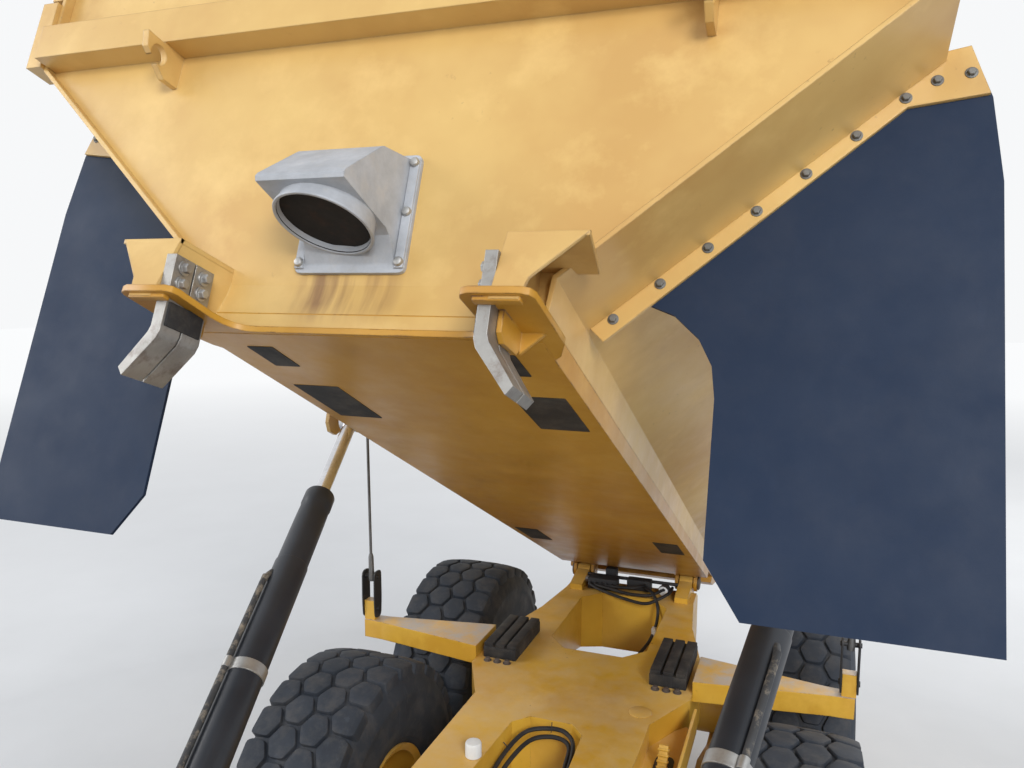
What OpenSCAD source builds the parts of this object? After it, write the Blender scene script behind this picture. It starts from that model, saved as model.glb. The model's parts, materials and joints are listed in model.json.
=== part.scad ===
// Articulated dump truck, parked with its wheels straight and its dump body raised.
// Millimetres. +X is the truck's left, the truck faces -Y, +Z is up, and z = 0 is the ground.
// Lengths along the truck count from the body's hinge line: minus is towards the cab.

/* [Overall places] */
// Place of the body's hinge line along the truck
hinge_y = 3462; // [3000:1:4200]
// Height of the body's hinge line above the ground
hinge_z = 1571; // [1500:1:1700]
// Angle that the body is raised to as it stands
tip_angle = 26.8; // [15:0.1:35]
// Place of the rear axle, from the hinge line
rear_axle_y = -343; // [-500:1:-250]
// Distance between the two bogie axles
bogie_pitch = 1679; // [1620:1:1800]
// Place of the front axle, from the hinge line
front_axle_y = -6200; // [-6400:1:-6000]
// Place of the steering pivot, from the hinge line
steer_y = -5000; // [-5060:1:-4940]

/* [Wheels] */
// Outer radius of a tyre at its tread
tyre_r = 803; // [760:1:820]
// Width of a tyre
tyre_w = 617; // [560:1:640]
// Half the distance between the wheel centres of one axle
track_half = 1154; // [1130:1:1200]
// Radius at which the tyre sits on its rim
rim_r = 330; // [310:1:350]
// Width of the rim
rim_w = 500; // [440:1:520]
// Radius of the round spindle end that a wheel turns on
spindle_r = 90; // [70:1:110]
// Running clearance of a shaft in its bore, on the radius
run_gap = 0.05; // [0.02:0.01:0.1]
// Clearance between pieces that pass each other
pass_gap = 8; // [6:1:14]

/* [Rear frame] */
// Height of the frame's deck
deck_z = 1505; // [1480:1:1520]
// Depth of the frame's box beams
beam_h = 330; // [260:1:380]
// Half the width of the frame between the bogie wheels
frame_half = 465; // [440:1:490]
// Half the width of the frame at its outriggers
wing_half = 620; // [580:1:680]
// Reach of an outrigger arm from the middle
arm_reach = 1418; // [1380:1:1450]
// Thickness of an outrigger arm
arm_t = 110; // [90:1:120]
// Radius of an axle tube
axle_r = 120; // [100:1:140]
// Radius of the hitch's oscillation shaft
osc_r = 150; // [120:1:170]
// Height of the oscillation shaft
osc_z = 1080; // [1040:1:1120]

/* [Dump body] */
// Length of the floor in front of the hinge line
bed_front = 4224; // [4100:1:4300]
// Length of the body behind the hinge line
bed_tail = 1350; // [1200:1:1450]
// Height of the floor's underside above the hinge line
bed_lift = 27; // [20:1:40]
// Half the width of the floor's underside
floor_half = 522; // [500:1:540]
// Half the width where the floor's flank meets the sloped side
flank_half = 540; // [530:1:560]
// Height of the flank above the floor's underside
flank_h = 165; // [150:1:180]
// Half the width over the upright side walls
side_half = 1440; // [1400:1:1460]
// Height at which a sloped side turns upright
knee_h = 935; // [900:1:960]
// Height of the side walls' top above the floor's underside
side_h = 1330; // [1280:1:1400]
// Height of the front wall's top
guard_h = 1700; // [1600:1:1760]
// Lean of the front wall towards the cab
wall_lean = 6.1; // [4:0.1:8]
// Thickness of the body's wall plates
wall_t = 14; // [10:1:18]
// Thickness of the floor with its heating channel
floor_t = 62; // [56:1:70]
// Rise of the tail's underside at its end
tail_rise = 300; // [240:1:340]
// Length of the sloped tail
tail_len = 1100; // [1000:1:1180]
// Distance of the rubber flaps behind the front wall
flap_back = 300; // [260:1:340]
// Angle that the tailgate stands open
gate_open = 25; // [10:0.5:30]

/* [Hoist cylinders] */
// Half the distance between the cylinders' lower pins
hoist_foot_x = 616; // [600:1:640]
// Place of the lower pins, from the hinge line
hoist_foot_y = -4600; // [-4640:1:-4560]
// Height of the lower pins
hoist_foot_z = 1171; // [1150:1:1200]
// Half the distance between the upper pins
hoist_head_x = 1228; // [1210:1:1240]
// Place of the upper pins in front of the hinge line, along the floor
hoist_head_s = 2221; // [2200:1:2250]
// Height of the upper pins above the hinge line, square to the floor
hoist_head_h = 377; // [360:1:400]
// Outer radius of a hoist barrel
barrel_r = 75; // [68:1:80]
// Length of a hoist barrel from its lower pin to its head
barrel_len = 2330; // [2200:1:2360]
// Radius of a hoist rod
rod_r = 36; // [30:1:42]

/* [Front frame and cab] */
// Half the width over the front frame's beams
front_half = 300; // [280:1:320]
// Place of the front bumper's face, from the hinge line
bumper_y = -8900; // [-9100:1:-8800]
// Place of the cab's rear wall, from the hinge line
cab_rear_y = -5500; // [-5600:1:-5480]
// Length of the cab
cab_len = 1650; // [1500:1:1720]
// Half the width of the cab
cab_half = 750; // [700:1:780]
// Height of the cab's floor
cab_floor_z = 1640; // [1600:1:1700]
// Height of the cab's roof
cab_roof_z = 3290; // [3150:1:3400]
// Half the width of the hood
hood_half = 640; // [600:1:680]
// Height of the hood's top at the cab
hood_z = 2230; // [2100:1:2300]
// Thickness of the cab's walls
cab_wall = 45; // [35:1:60]
// Thickness of the cab's glass
glass_t = 6; // [5:1:8]

/* [Hidden] */
$fn = 64;

paint = [0.93, 0.62, 0.13];
ochre = [0.80, 0.52, 0.10];
black = [0.09, 0.09, 0.10];
rubber = [0.12, 0.13, 0.15];
steel = [0.55, 0.55, 0.54];

axle_z = tyre_r;
stack_z = osc_z + 250;
mid_axle_y = rear_axle_y - bogie_pitch;
bogie_y = rear_axle_y - bogie_pitch / 2;
slope_a = atan((knee_h - flank_h) / (side_half - flank_half));
// The wall's thickness measured straight up on the sloped side
slope_up = wall_t / cos(slope_a);
knee_in = knee_h + slope_up - wall_t * tan(slope_a);
flank_in_h = flank_h + slope_up - wall_t * tan(slope_a);
floor_edge = floor_half + (flank_half - floor_half) * floor_t / flank_h;

// Places everything that is measured from the body's hinge line
module on_line() translate([0, hinge_y, 0]) children();

// Places what is measured in the dump body: y is minus the distance in front of the hinge
module in_bed() on_line() translate([0, 0, hinge_z]) rotate([-tip_angle, 0, 0])
    translate([0, 0, bed_lift]) children();

// Places what is measured on the front wall: y is the depth behind it, z the height along it
module in_wall() in_bed() translate([0, -bed_front, 0]) rotate([wall_lean, 0, 0]) children();

module both_sides() {
    children();
    mirror([1, 0, 0]) children();
}

// A cylinder along X, Y or Z, centred on its middle
module bar_x(r, l) rotate([0, 90, 0]) cylinder(r = r, h = l, center = true);
module bar_y(r, l) rotate([90, 0, 0]) cylinder(r = r, h = l, center = true);
module bar_z(r, l) cylinder(r = r, h = l, center = true);

// A plate that stands across the truck, from an outline of [x, z] points
module sheet_xz(points, t) rotate([90, 0, 0]) linear_extrude(t) polygon(points);
// A plate that stands along the truck, from an outline of [y, z] points
module sheet_yz(points, t) rotate([90, 0, 90]) linear_extrude(t, center = true) polygon(points);

// Rear frame

// Half outline of the frame seen from above, as [half width, place along the truck]
frame_plan = [
    [290, -4740], [400, -4500], [430, -4200], [frame_half, -2700], [frame_half, -1880],
    [wing_half, -1560], [wing_half, -1130], [500, -640], [450, -230], [440, 70]
];

module frame_outline() {
    side = [for (p = frame_plan) [p[0], p[1]]];
    other = [for (i = [len(frame_plan) - 1 : -1 : 0]) [-frame_plan[i][0], frame_plan[i][1]]];
    polygon(concat(side, other));
}

// Side view of the frame, as [place along the truck, height]
frame_side = [
    [-4740, osc_z - 230], [-4300, osc_z - 230], [-3300, deck_z - beam_h],
    [-500, deck_z - beam_h], [-150, 1080], [40, 1080], [70, 1240], [70, deck_z - 55],
    [-30, deck_z], [-4380, deck_z], [-4420, stack_z], [-4740, stack_z]
];

// A rounded slot through the deck between two places, with its half width at each end
module deck_slot(y0, w0, y1, w1) translate([0, 0, deck_z - beam_h - 500]) linear_extrude(1000)
    polygon([
        [-w0 * 0.6, y0], [w0 * 0.6, y0], [w0, y0 - w0 * 0.45], [w1, y1 + w1 * 0.45],
        [w1 * 0.6, y1], [-w1 * 0.6, y1], [-w1, y1 + w1 * 0.45], [-w0, y0 - w0 * 0.45]
    ]);

lever_hole = [400, -1780];
lever_hole_r = 45;
module rear_frame() color(paint) on_line() {
    difference() {
        intersection() {
            translate([0, 0, 600]) linear_extrude(1000) frame_outline();
            sheet_yz(frame_side, 2000);
        }
        deck_slot(-250, 295, -1200, 295);
        deck_slot(-2010, 180, -3600, 260);
        // The bearing of the oscillation shaft, with a way in for the drive shaft
        translate([0, -4740, osc_z]) bar_y(osc_r + run_gap, 900);
        front_shaft(shaft_r + 20);
        // The hole for the lever beside the left pad
        translate([lever_hole[0], lever_hole[1], deck_z]) bar_z(lever_hole_r, 200);
    }
    both_sides() {
        hinge_pillar();
        // The lugs that hold the hoist cylinders' feet, and the bracket under them
        on_foot() for (side = [-1, 1]) translate([side * (foot_w / 2 + 5 + lug_t / 2), 0, 0])
            difference() {
                union() {
                    bar_x(85, lug_t);
                    translate([0, -20, -85]) cube([lug_t, 150, 150], center = true);
                }
                bar_x(foot_pin_r, 2 * lug_t);
            }
        translate([280, hoist_foot_y - 130, hoist_foot_z - 320]) cube([470, 240, 209]);
        // The bracket that carries a walking beam's pivot
        translate([430, bogie_y - 150, 690]) cube([70, 300, 500]);
    }
    both_sides() translate([570, bogie_y, beam_pivot_z]) bar_x(beam_pin_r, 280);
    // The tow eye at the tail
    translate([0, 70, 1100]) tow_eye();
}

tow_r = 30;
tow_out = 75;
tow_t = 60;
module tow_eye() difference() {
    union() {
        translate([-65, -60, 0]) cube([130, 60 + tow_out, tow_t]);
        translate([0, tow_out, 0]) cylinder(r = 65, h = tow_t);
    }
    translate([0, tow_out, -1]) cylinder(r = tow_r, h = tow_t + 2);
}

// The hoist cylinders swing on pins that lean with them
pin_lean_y = -0.27;
pin_lean_z = 0.38;
module hoist_axis() rotate([0, 0, atan(pin_lean_y)])
    rotate([0, -atan(pin_lean_z / norm([1, pin_lean_y])), 0]) children();

// A pillar that holds the body's hinge pin
head_r = 60;
pin_r = 36;
pillar_x = 370;
pillar_t = 90;
module hinge_pillar() translate([pillar_x, 0, 0]) difference() {
    union() {
        translate([0, 0, hinge_z]) bar_x(head_r, pillar_t);
        sheet_yz([
            [-260, deck_z - 60], [60, deck_z - 120], [60, hinge_z], [-50, hinge_z + 20],
            [-150, deck_z + 68], [-260, deck_z + 40]
        ], pillar_t);
    }
    translate([0, 0, hinge_z]) bar_x(pin_r, 2 * pillar_t);
}

// How far the arms reach below the deck, and the blocks that hold the wires at their tips
arm_drop = 40;
arm_top = deck_z - arm_drop + arm_t;
wire_block = [70, 60, 120];
module cable_arms() color(paint) on_line() both_sides() {
    translate([0, 0, deck_z - arm_drop]) linear_extrude(arm_t) polygon([
        [wing_half, -1500], [arm_reach - 120, -1400], [arm_reach, -1395], [arm_reach, -1310],
        [arm_reach - 130, -1300], [wing_half, -1180]
    ]);
    translate([arm_reach - 30, -1354, arm_top + wire_block[2] / 2]) difference() {
        cube(wire_block, center = true);
        bar_x(18, 100);
    }
}

pad_h = 86;
module rest_pads() color(rubber) on_line() both_sides()
    translate([484 - 100, -1475, deck_z]) cube([200, 450, pad_h]);

beam_pivot_z = 760;
beam_pin_r = 70;
module bogie_beams() color(ochre) on_line() both_sides() translate([655, 0, 0]) difference() {
    sheet_yz([
        [mid_axle_y - 150, axle_z - axle_r], [mid_axle_y - 130, axle_z - axle_r - 110],
        [bogie_y - 250, 620], [bogie_y + 250, 620], [rear_axle_y + 130, axle_z - axle_r - 110],
        [rear_axle_y + 150, axle_z - axle_r], [rear_axle_y - 180, axle_z - axle_r],
        [bogie_y + 160, 860], [bogie_y - 160, 860], [mid_axle_y + 180, axle_z - axle_r]
    ], 110);
    translate([0, bogie_y, beam_pivot_z]) bar_x(beam_pin_r, 200);
}

// An axle: its tube, the round housing of its gears and the flanges at its ends
module axle_body() {
    bar_x(axle_r, 2 * (track_half - 250));
    rotate([90, 0, 0]) cylinder(r = 210, h = 2 * gear_half, center = true);
    both_sides() translate([track_half - 280, 0, 0]) bar_x(210, 80);
    both_sides() translate([track_half - 75, 0, 0]) bar_x(spindle_r, 410);
}

module bogie_axles() color(ochre) on_line() for (y = [mid_axle_y, rear_axle_y])
    translate([0, y, axle_z]) axle_body();

// The shafts run between the axles' housings and on to the hitch
shaft_r = 55;
gear_half = 170;
shaft_rise = 120;
shaft_run = 2180;
shaft_end = -4420;
module front_shaft(r) translate([0, mid_axle_y - gear_half, axle_z])
    rotate([90 - atan(shaft_rise / shaft_run), 0, 0]) cylinder(r = r, h = norm([shaft_run, shaft_rise]));
module drive_shafts() color(steel) on_line() {
    translate([0, bogie_y, axle_z]) bar_y(shaft_r, bogie_pitch - 2 * gear_half);
    intersection() {
        front_shaft(shaft_r);
        translate([-500, shaft_end, 500]) cube([1000, mid_axle_y - gear_half - shaft_end, 1000]);
    }
}

// The pipe that meets the dump body's exhaust inlet when the body is down
module exhaust_stack() color(steel) on_line() translate([-76, -4560, 0]) difference() {
    union() {
        translate([0, 0, stack_z]) cylinder(r = 95, h = 380);
        translate([0, 0, stack_z]) cylinder(r = 130, h = 40);
    }
    translate([0, 0, 1400]) cylinder(r = 80, h = 400);
}

module rear_lamps() color(black) on_line() {
    both_sides() {
        translate([230, 70, 1130]) cube([200, 20, 110]);
        for (x = [280, 380]) translate([x, 100, 1185]) bar_y(42, 20);
    }
}

// Hitch

hitch_plate = 60;
tongue_h = 300;
king_r = 70;
eye_h = 80;
ear_t = 24;
module hitch() color(ochre) on_line() {
    translate([0, -4600, osc_z]) bar_y(osc_r, 300);
    translate([0, -4740 - pass_gap - 30, osc_z]) bar_y(240, 60);
    for (side = [-1, 1]) translate([0, 0, osc_z + side * (tongue_h / 2 + pass_gap + hitch_plate / 2)])
        linear_extrude(hitch_plate, center = true) polygon([
            [-230, -4790], [-230, -4860], [-160, steer_y], [-110, steer_y - 120],
            [110, steer_y - 120], [160, steer_y], [230, -4860], [230, -4790]
        ]);
    translate([-230, -4840, osc_z - tongue_h / 2 - pass_gap - hitch_plate])
        cube([460, 40, tongue_h + 2 * pass_gap + 2 * hitch_plate]);
    translate([0, steer_y, osc_z]) bar_z(king_r, tongue_h + 2 * pass_gap + 2 * hitch_plate + 40);
    // The ears that hold the steering rods' eyes
    both_sides() for (side = [-1, 1])
        translate([0, 0, osc_z + side * (eye_h / 2 + pass_gap + ear_t / 2)])
            linear_extrude(ear_t, center = true) polygon([
                [200, -4800], [230, -4850], [285, steer_y - 10], [440, steer_y - 10],
                [440, -4900], [330, -4800]
            ]);
}

// Front frame

// Height of the beams' top, their section and where they end at the hitch
front_top = 1220;
rail_beam_w = 120;
rail_beam_h = 280;
front_frame_end = -5480;
hood_lug_t = 22;
hood_pin_r = 14;
module front_frame() color(paint) on_line() {
    difference() {
        union() {
            both_sides() translate([front_half - rail_beam_w, bumper_y + bumper_t, front_top - rail_beam_h])
                cube([rail_beam_w, front_frame_end - bumper_y - bumper_t, rail_beam_h]);
            for (y = [-5600, -6900, -8300]) translate([-front_half + 100, y, front_top - 240])
                cube([2 * front_half - 200, 120, 200]);
            translate([-front_half, -5620, osc_z - tongue_h / 2])
                cube([2 * front_half, 140, tongue_h]);
            translate([0, 0, osc_z - tongue_h / 2]) linear_extrude(tongue_h) polygon([
                [-300, -5500], [-110, -5270], [-110, steer_y], [-80, steer_y + 90],
                [80, steer_y + 90], [110, steer_y], [110, -5270], [300, -5500]
            ]);
            // The lugs that hold the steering barrels' feet
            both_sides() for (side = [-1, 1]) translate([
                front_half - 20, steer_foot[1] - 60,
                osc_z - ear_t / 2 + side * (steer_boss_h / 2 + steer_lug_gap + ear_t / 2)
            ]) cube([steer_foot[0] - front_half + 80, 120, ear_t]);
            both_sides() translate([steer_foot[0], steer_foot[1], osc_z]) bar_z(steer_pin_r, 140);
            // The lugs and pins that the hood tilts on
            both_sides() {
                translate([front_half - hood_lug_t, hood_pin_y - 20, front_top - 1])
                    cube([hood_lug_t, 40, hood_pin_z + 20 - (front_top - 1)]);
                translate([front_half + 15, hood_pin_y, hood_pin_z]) bar_x(hood_pin_r, 74);
            }
        }
        translate([0, steer_y, osc_z]) bar_z(king_r + run_gap, 800);
    }
    // Cab and hood mounts
    both_sides() for (y = [-5650, -6950]) translate([front_half - 110, y, front_top - 1])
        cylinder(r = 55, h = cab_floor_z - (front_top - 1));
    both_sides() translate([front_half - rail_beam_w, front_axle_y - 100, axle_z + axle_r])
        cube([rail_beam_w, 200, 30]);
}

engine_size = [660, 980, 780];
engine_y = -8250;
module engine() color(steel) on_line() translate([-engine_size[0] / 2, engine_y, front_top])
    cube(engine_size);

module front_axle() color(ochre) on_line() translate([0, front_axle_y, axle_z]) axle_body();

fender_t = 30;
fender_out = track_half + tyre_w / 2;
module fenders() color(black) on_line() both_sides() translate([(cab_half + fender_out) / 2, 0, 0])
    sheet_yz([
        [-5420, 1500], [-5400, 1670], [-5560, 1700], [-6950, 1700], [-7080, 1600], [-7160, 1200],
        [-7130, 1195], [-7050, 1580], [-6940, 1700 - fender_t], [-5570, 1700 - fender_t],
        [-5430, 1650], [-5450, 1500]
    ], fender_out - cab_half);

step_x = 780;
step_y = -7500;
step_w = 400;
step_d = 240;
module access_steps() color(black) on_line() both_sides() {
    for (z = [450, 760, 1070, 1380]) translate([step_x, step_y, z]) cube([step_w, step_d, 40]);
    for (x = [step_x - 20, step_x + step_w]) translate([x, step_y, 430]) cube([20, step_d, 1010]);
    translate([front_half, step_y + 70, 1000]) cube([step_x - front_half, 80, 100]);
}

bumper_half = 900;
bumper_z = 760;
bumper_t = 150;
module bumper() color(paint) on_line() {
    translate([-bumper_half, bumper_y, bumper_z]) cube([2 * bumper_half, bumper_t, 320]);
    translate([0, bumper_y, bumper_z + 90]) rotate([0, 0, 180]) tow_eye();
}

// Cab

// Side view of the cab, as [place along the truck, height]
cab_front_y = cab_rear_y - cab_len;
cab_side = [
    [cab_rear_y, cab_floor_z], [cab_rear_y, cab_roof_z - 60], [cab_rear_y - 60, cab_roof_z],
    [cab_front_y + 180, cab_roof_z], [cab_front_y + 110, cab_roof_z - 60],
    [cab_front_y, hood_z - 150], [cab_front_y, cab_floor_z]
];
cab_inside = [
    [cab_rear_y - cab_wall, cab_floor_z + cab_wall],
    [cab_rear_y - cab_wall, cab_roof_z - 60 - cab_wall / 2],
    [cab_rear_y - 60 - cab_wall / 2, cab_roof_z - cab_wall],
    [cab_front_y + 180 + cab_wall / 2, cab_roof_z - cab_wall],
    [cab_front_y + 110 + cab_wall, cab_roof_z - 60 - cab_wall / 2],
    [cab_front_y + cab_wall, hood_z - 150], [cab_front_y + cab_wall, cab_floor_z + cab_wall]
];
sill_z = hood_z + 40;
door_rear_y = cab_rear_y - 480;
door_w = 860;
door_z0 = cab_floor_z + 130;
door_z1 = cab_roof_z - 130;
// A side window's outline in the cab's rear part, and one in the door
rear_pane = [
    [cab_rear_y - 90, sill_z], [cab_rear_y - 90, door_z1 - 40],
    [door_rear_y + 70, door_z1 - 40], [door_rear_y + 70, sill_z]
];
door_pane = [
    [door_rear_y - 70, cab_floor_z + 430], [door_rear_y - 70, door_z1 - 70],
    [door_rear_y - door_w + 190, door_z1 - 70], [door_rear_y - door_w + 90, cab_floor_z + 430]
];
// The door fills its opening with an even gap
door_outline = [
    [door_rear_y, door_z0], [door_rear_y, door_z1],
    [door_rear_y - door_w + 110, door_z1], [door_rear_y - door_w, hood_z],
    [door_rear_y - door_w, door_z0]
];
door_hole = [
    [door_rear_y + pass_gap, door_z0 - pass_gap], [door_rear_y + pass_gap, door_z1 + pass_gap],
    [door_rear_y - door_w + 110 - pass_gap, door_z1 + pass_gap],
    [door_rear_y - door_w - pass_gap, hood_z + 2], [door_rear_y - door_w - pass_gap, door_z0 - pass_gap]
];

// The door's two hinges stand outside the wall: [height of the lower knuckle]
door_axis = [cab_half + 20, door_rear_y + 4];
door_pin_r = 8;
knuckle_h = 40;
hinge_heights = [door_z0 + 120, door_z1 - 220];
module knuckle(z, dir) translate([door_axis[0], door_axis[1], z]) {
    cylinder(r = 16, h = knuckle_h);
    translate([-21, dir > 0 ? 0 : -70, 0]) cube([33, 70, knuckle_h]);
}

module cab_shell() color(paint) on_line() {
    cab_walls();
    for (z = hinge_heights) {
        knuckle(z, 1);
        translate([door_axis[0], door_axis[1], z]) cylinder(r = door_pin_r, h = 2 * knuckle_h + 4);
    }
}

module cab_walls() difference() {
    sheet_yz(cab_side, 2 * cab_half);
    sheet_yz(cab_inside, 2 * (cab_half - cab_wall));
    // Side windows, with a fixed window in place of a door on the right
    for (side = [-1, 1]) translate([side * cab_half, 0, 0]) sheet_yz(rear_pane, 3 * cab_wall);
    translate([-cab_half, 0, 0]) sheet_yz(door_pane, 3 * cab_wall);
    translate([cab_half, 0, 0]) sheet_yz(door_hole, 3 * cab_wall);
    // Windscreen and rear window
    screen_opening();
    translate([-cab_half + 110, cab_rear_y - 100, sill_z])
        cube([2 * cab_half - 220, 200, door_z1 - sill_z - 40]);
}

module screen_opening() translate([-cab_half + 90, cab_front_y - 50, sill_z])
    cube([2 * cab_half - 180, 330, door_z1 - sill_z]);

screen_lean = atan(110 / (cab_roof_z - 60 - hood_z + 150));
module cab_glass() color([0.5, 0.65, 0.7, 0.35]) on_line() {
    for (side = [-1, 1]) translate([side * (cab_half - cab_wall / 2), 0, 0]) sheet_yz(rear_pane, glass_t);
    translate([-(cab_half - cab_wall / 2), 0, 0]) sheet_yz(door_pane, glass_t);
    translate([0, cab_rear_y - cab_wall / 2, (sill_z + door_z1 - 40) / 2])
        cube([2 * cab_half - 220, glass_t, door_z1 - sill_z - 40], center = true);
    intersection() {
        screen_opening();
        translate([0, cab_front_y + cab_wall / 2, hood_z - 150]) rotate([-screen_lean, 0, 0])
            translate([-cab_half, -glass_t / 2, 0]) cube([2 * cab_half, glass_t, 1300]);
    }
}

module cab_interior() {
    seat();
    console();
}

module seat() color(black) on_line() translate([0, -6130, cab_floor_z + cab_wall]) {
    translate([-150, -150, 0]) cube([300, 300, 260]);
    translate([-240, -280, 260]) cube([480, 500, 110]);
    translate([-230, 130, 370]) cube([460, 110, 640]);
    translate([-130, 140, 1010]) cube([260, 90, 160]);
}

module console() color(black) on_line() {
    translate([-500, cab_front_y + cab_wall, cab_floor_z + cab_wall]) cube([1000, 260, 390]);
    translate([-300, cab_front_y + cab_wall + 60, cab_floor_z + cab_wall + 389]) cube([600, 200, 251]);
    translate([0, cab_front_y + 330, cab_floor_z + 640]) rotate([30, 0, 0]) {
        translate([0, 0, -140]) cylinder(r = 28, h = 210);
        rotate_extrude() translate([205, 60]) circle(r = 16);
        for (a = [0, 120, 240]) rotate([0, 0, a]) translate([0, -14, 52]) cube([205, 28, 14]);
    }
}

module mirrors() color(black) on_line() both_sides() {
    translate([cab_half, cab_front_y + 60, hood_z + 300]) cube([320, 28, 28]);
    translate([cab_half + 300, cab_front_y + 40, hood_z - 40]) cube([180, 60, 420]);
}

// Hood

hood_rear_y = cab_front_y - 20;
hood_front_y = bumper_y + 170;
hood_low_z = 1250;
hood_pin_y = hood_front_y + 50;
hood_pin_z = 1300;
hood_wall = 12;
grille_half = 440;
grille_z = 1330;
grille_h = 460;
module hood() color(paint) on_line() {
    difference() {
        hood_body(0);
        hood_body(hood_wall);
        translate([-grille_half, hood_front_y - 60, grille_z]) cube([2 * grille_half, 200, grille_h]);
        // The way past the frame's hood lugs, open up to the grille
        translate([-front_half - hood_wall, hood_front_y - 60, hood_low_z - 1])
            cube([2 * (front_half + hood_wall), 200, grille_z - hood_low_z + 2]);
    }
    both_sides() difference() {
        translate([front_half + 20, hood_front_y + hood_wall - 1, hood_low_z]) cube([24, 75, 90]);
        translate([front_half + 20, hood_pin_y, hood_pin_z]) bar_x(hood_pin_r + run_gap, 80);
    }
}

// Side view of the hood, pulled in all round by the inset
module hood_body(inset) sheet_yz([
    [hood_rear_y + inset, hood_low_z - (inset > 0 ? 1 : 0)], [hood_rear_y + inset, hood_z - inset],
    [hood_front_y + 420, hood_z - 60 - inset], [hood_front_y + 120 + inset, hood_z - 260 - inset],
    [hood_front_y + inset, hood_z - 420 - inset], [hood_front_y + inset, hood_low_z - (inset > 0 ? 1 : 0)]
], 2 * (hood_half - inset));

module grille() color(black) on_line() {
    for (i = [0 : 8]) translate([-grille_half, hood_front_y - 10, grille_z + 10 + i * 52])
        cube([2 * grille_half, 20, 26]);
    for (x = [-grille_half, -10, grille_half - 20]) translate([x, hood_front_y + 8, grille_z])
        cube([20, 20, grille_h]);
    both_sides() translate([540, hood_front_y - 14, 1560]) bar_y(75, 28);
}

door_t = cab_wall;
module door() color(paint) on_line() difference() {
    union() {
        translate([cab_half - door_t / 2, 0, 0]) sheet_yz(door_outline, door_t);
        for (z = hinge_heights) knuckle(z + knuckle_h + 2, -1);
    }
    translate([cab_half - door_t / 2, 0, 0]) sheet_yz(door_pane, door_t + 2);
    for (z = hinge_heights) translate([door_axis[0], door_axis[1], z + knuckle_h])
        cylinder(r = door_pin_r + run_gap, h = 2 * knuckle_h);
}

module door_glass() color([0.5, 0.65, 0.7, 0.35]) on_line()
    translate([cab_half - door_t / 2, 0, 0]) sheet_yz(door_pane, glass_t);

// Dump body

// Outline of the body's outside and inside, as [x, height above the floor's underside]
trough_out = [
    [-side_half, side_h], [-side_half, knee_h], [-flank_half, flank_h], [-floor_half, 0],
    [floor_half, 0], [flank_half, flank_h], [side_half, knee_h], [side_half, side_h]
];
module trough_outside(y0, y1) translate([0, y1, 0]) sheet_xz(trough_out, y1 - y0);
// What fits between the side plates, with a gap for the weld
weld_gap = 0.1;
plate_in = wall_t + weld_gap;
module trough_inside(top, y0, y1) translate([0, y1, 0]) sheet_xz([
    [-side_half + plate_in, top], [-side_half + plate_in, knee_in], [-flank_half + plate_in, flank_in_h],
    [-floor_edge + plate_in, floor_t], [floor_edge - plate_in, floor_t],
    [flank_half - plate_in, flank_in_h], [side_half - plate_in, knee_in], [side_half - plate_in, top]
], y1 - y0);

// What lies under the tail's sloped underside
tail_a = atan(tail_rise / tail_len);
tail_from = bed_tail - tail_len;
module under_tail() translate([-2000, tail_from, 0]) rotate([tail_a, 0, 0])
    translate([0, 0, -1000]) cube([4000, 2500, 1000]);

// What lies in front of the leaning front wall's face
module before_wall(depth) translate([0, -bed_front, 0]) rotate([wall_lean, 0, 0])
    translate([-2000, -1000 + depth, -500]) cube([4000, 1000, 4000]);

hinge_cut = 130;
tail_plate = 16;
module bed_floor() color(ochre) in_bed() {
    difference() {
        translate([0, tail_from + 150, 0]) sheet_xz([
            [-floor_edge, floor_t], [-floor_half, 0], [floor_half, 0], [floor_edge, floor_t]
        ], bed_front + tail_from + 150 + 60);
        before_wall(-34);
        under_tail();
        // The underside opens round the hinge
        translate([-700, -hinge_cut, -1]) cube([1400, 2 * hinge_cut, floor_t - tail_plate + 1]);
    }
    intersection() {
        translate([-1500, tail_from, 0]) rotate([tail_a, 0, 0]) cube([3000, 1500, floor_t]);
        trough_inside(1000, 0, bed_tail);
    }
    // The hinge lugs and their pins
    both_sides() for (x = [306, 434]) difference() {
        union() {
            translate([x, 0, -bed_lift]) bar_x(head_r, 24);
            translate([x - 12, -head_r, -bed_lift]) cube([24, 2 * head_r, bed_lift + floor_t - 1]);
            translate([x - 12, -400, 0]) cube([24, 400, floor_t - 10]);
        }
        translate([x, 0, -bed_lift]) bar_x(pin_r - 1, 40);
    }
    both_sides() translate([370, 0, -bed_lift]) bar_x(pin_r - run_gap, 160);
}

rail_h = 110;
rail_w = 50;
module bed_sides() color(paint) in_bed() both_sides() difference() {
    union() {
        translate([0, bed_tail, 0]) sheet_xz([
            [floor_edge, floor_t], [flank_half, flank_h], [side_half, knee_h], [side_half, side_h],
            [side_half - wall_t, side_h], [side_half - wall_t, knee_in],
            [flank_half - wall_t, flank_in_h], [floor_edge - wall_t, floor_t]
        ], bed_front + bed_tail + 400);
        translate([side_half, -bed_front - 300, side_h - rail_h])
            cube([rail_w, bed_front + 300 + bed_tail, rail_h]);
        // The tailgate's pivot pin
        translate([side_half, -gate_pivot_s, gate_pivot_h]) rotate([0, 90, 0])
            cylinder(r = gate_pin_r, h = arm_x + arm_plate + 12 - side_half);
        hoist_lugs();
    }
    before_wall(-34);
    under_tail();
}

// The pair of plates under a sloped side that hold a hoist rod's eye
lug_gap = 190;
lug_t = 22;
module hoist_lugs() difference() {
    for (side = [-1, 1]) translate([hoist_head_x + side * (lug_gap + lug_t) / 2, -hoist_head_s, 0])
        sheet_yz([
            [-70, hoist_head_h - bed_lift - 40], [-30, hoist_head_h - bed_lift - 80],
            [30, hoist_head_h - bed_lift - 80], [70, hoist_head_h - bed_lift - 40],
            [180, knee_h], [-180, knee_h]
        ], lug_t);
    trough_outside(-bed_front, bed_tail);
}

post_w = 100;
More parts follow.
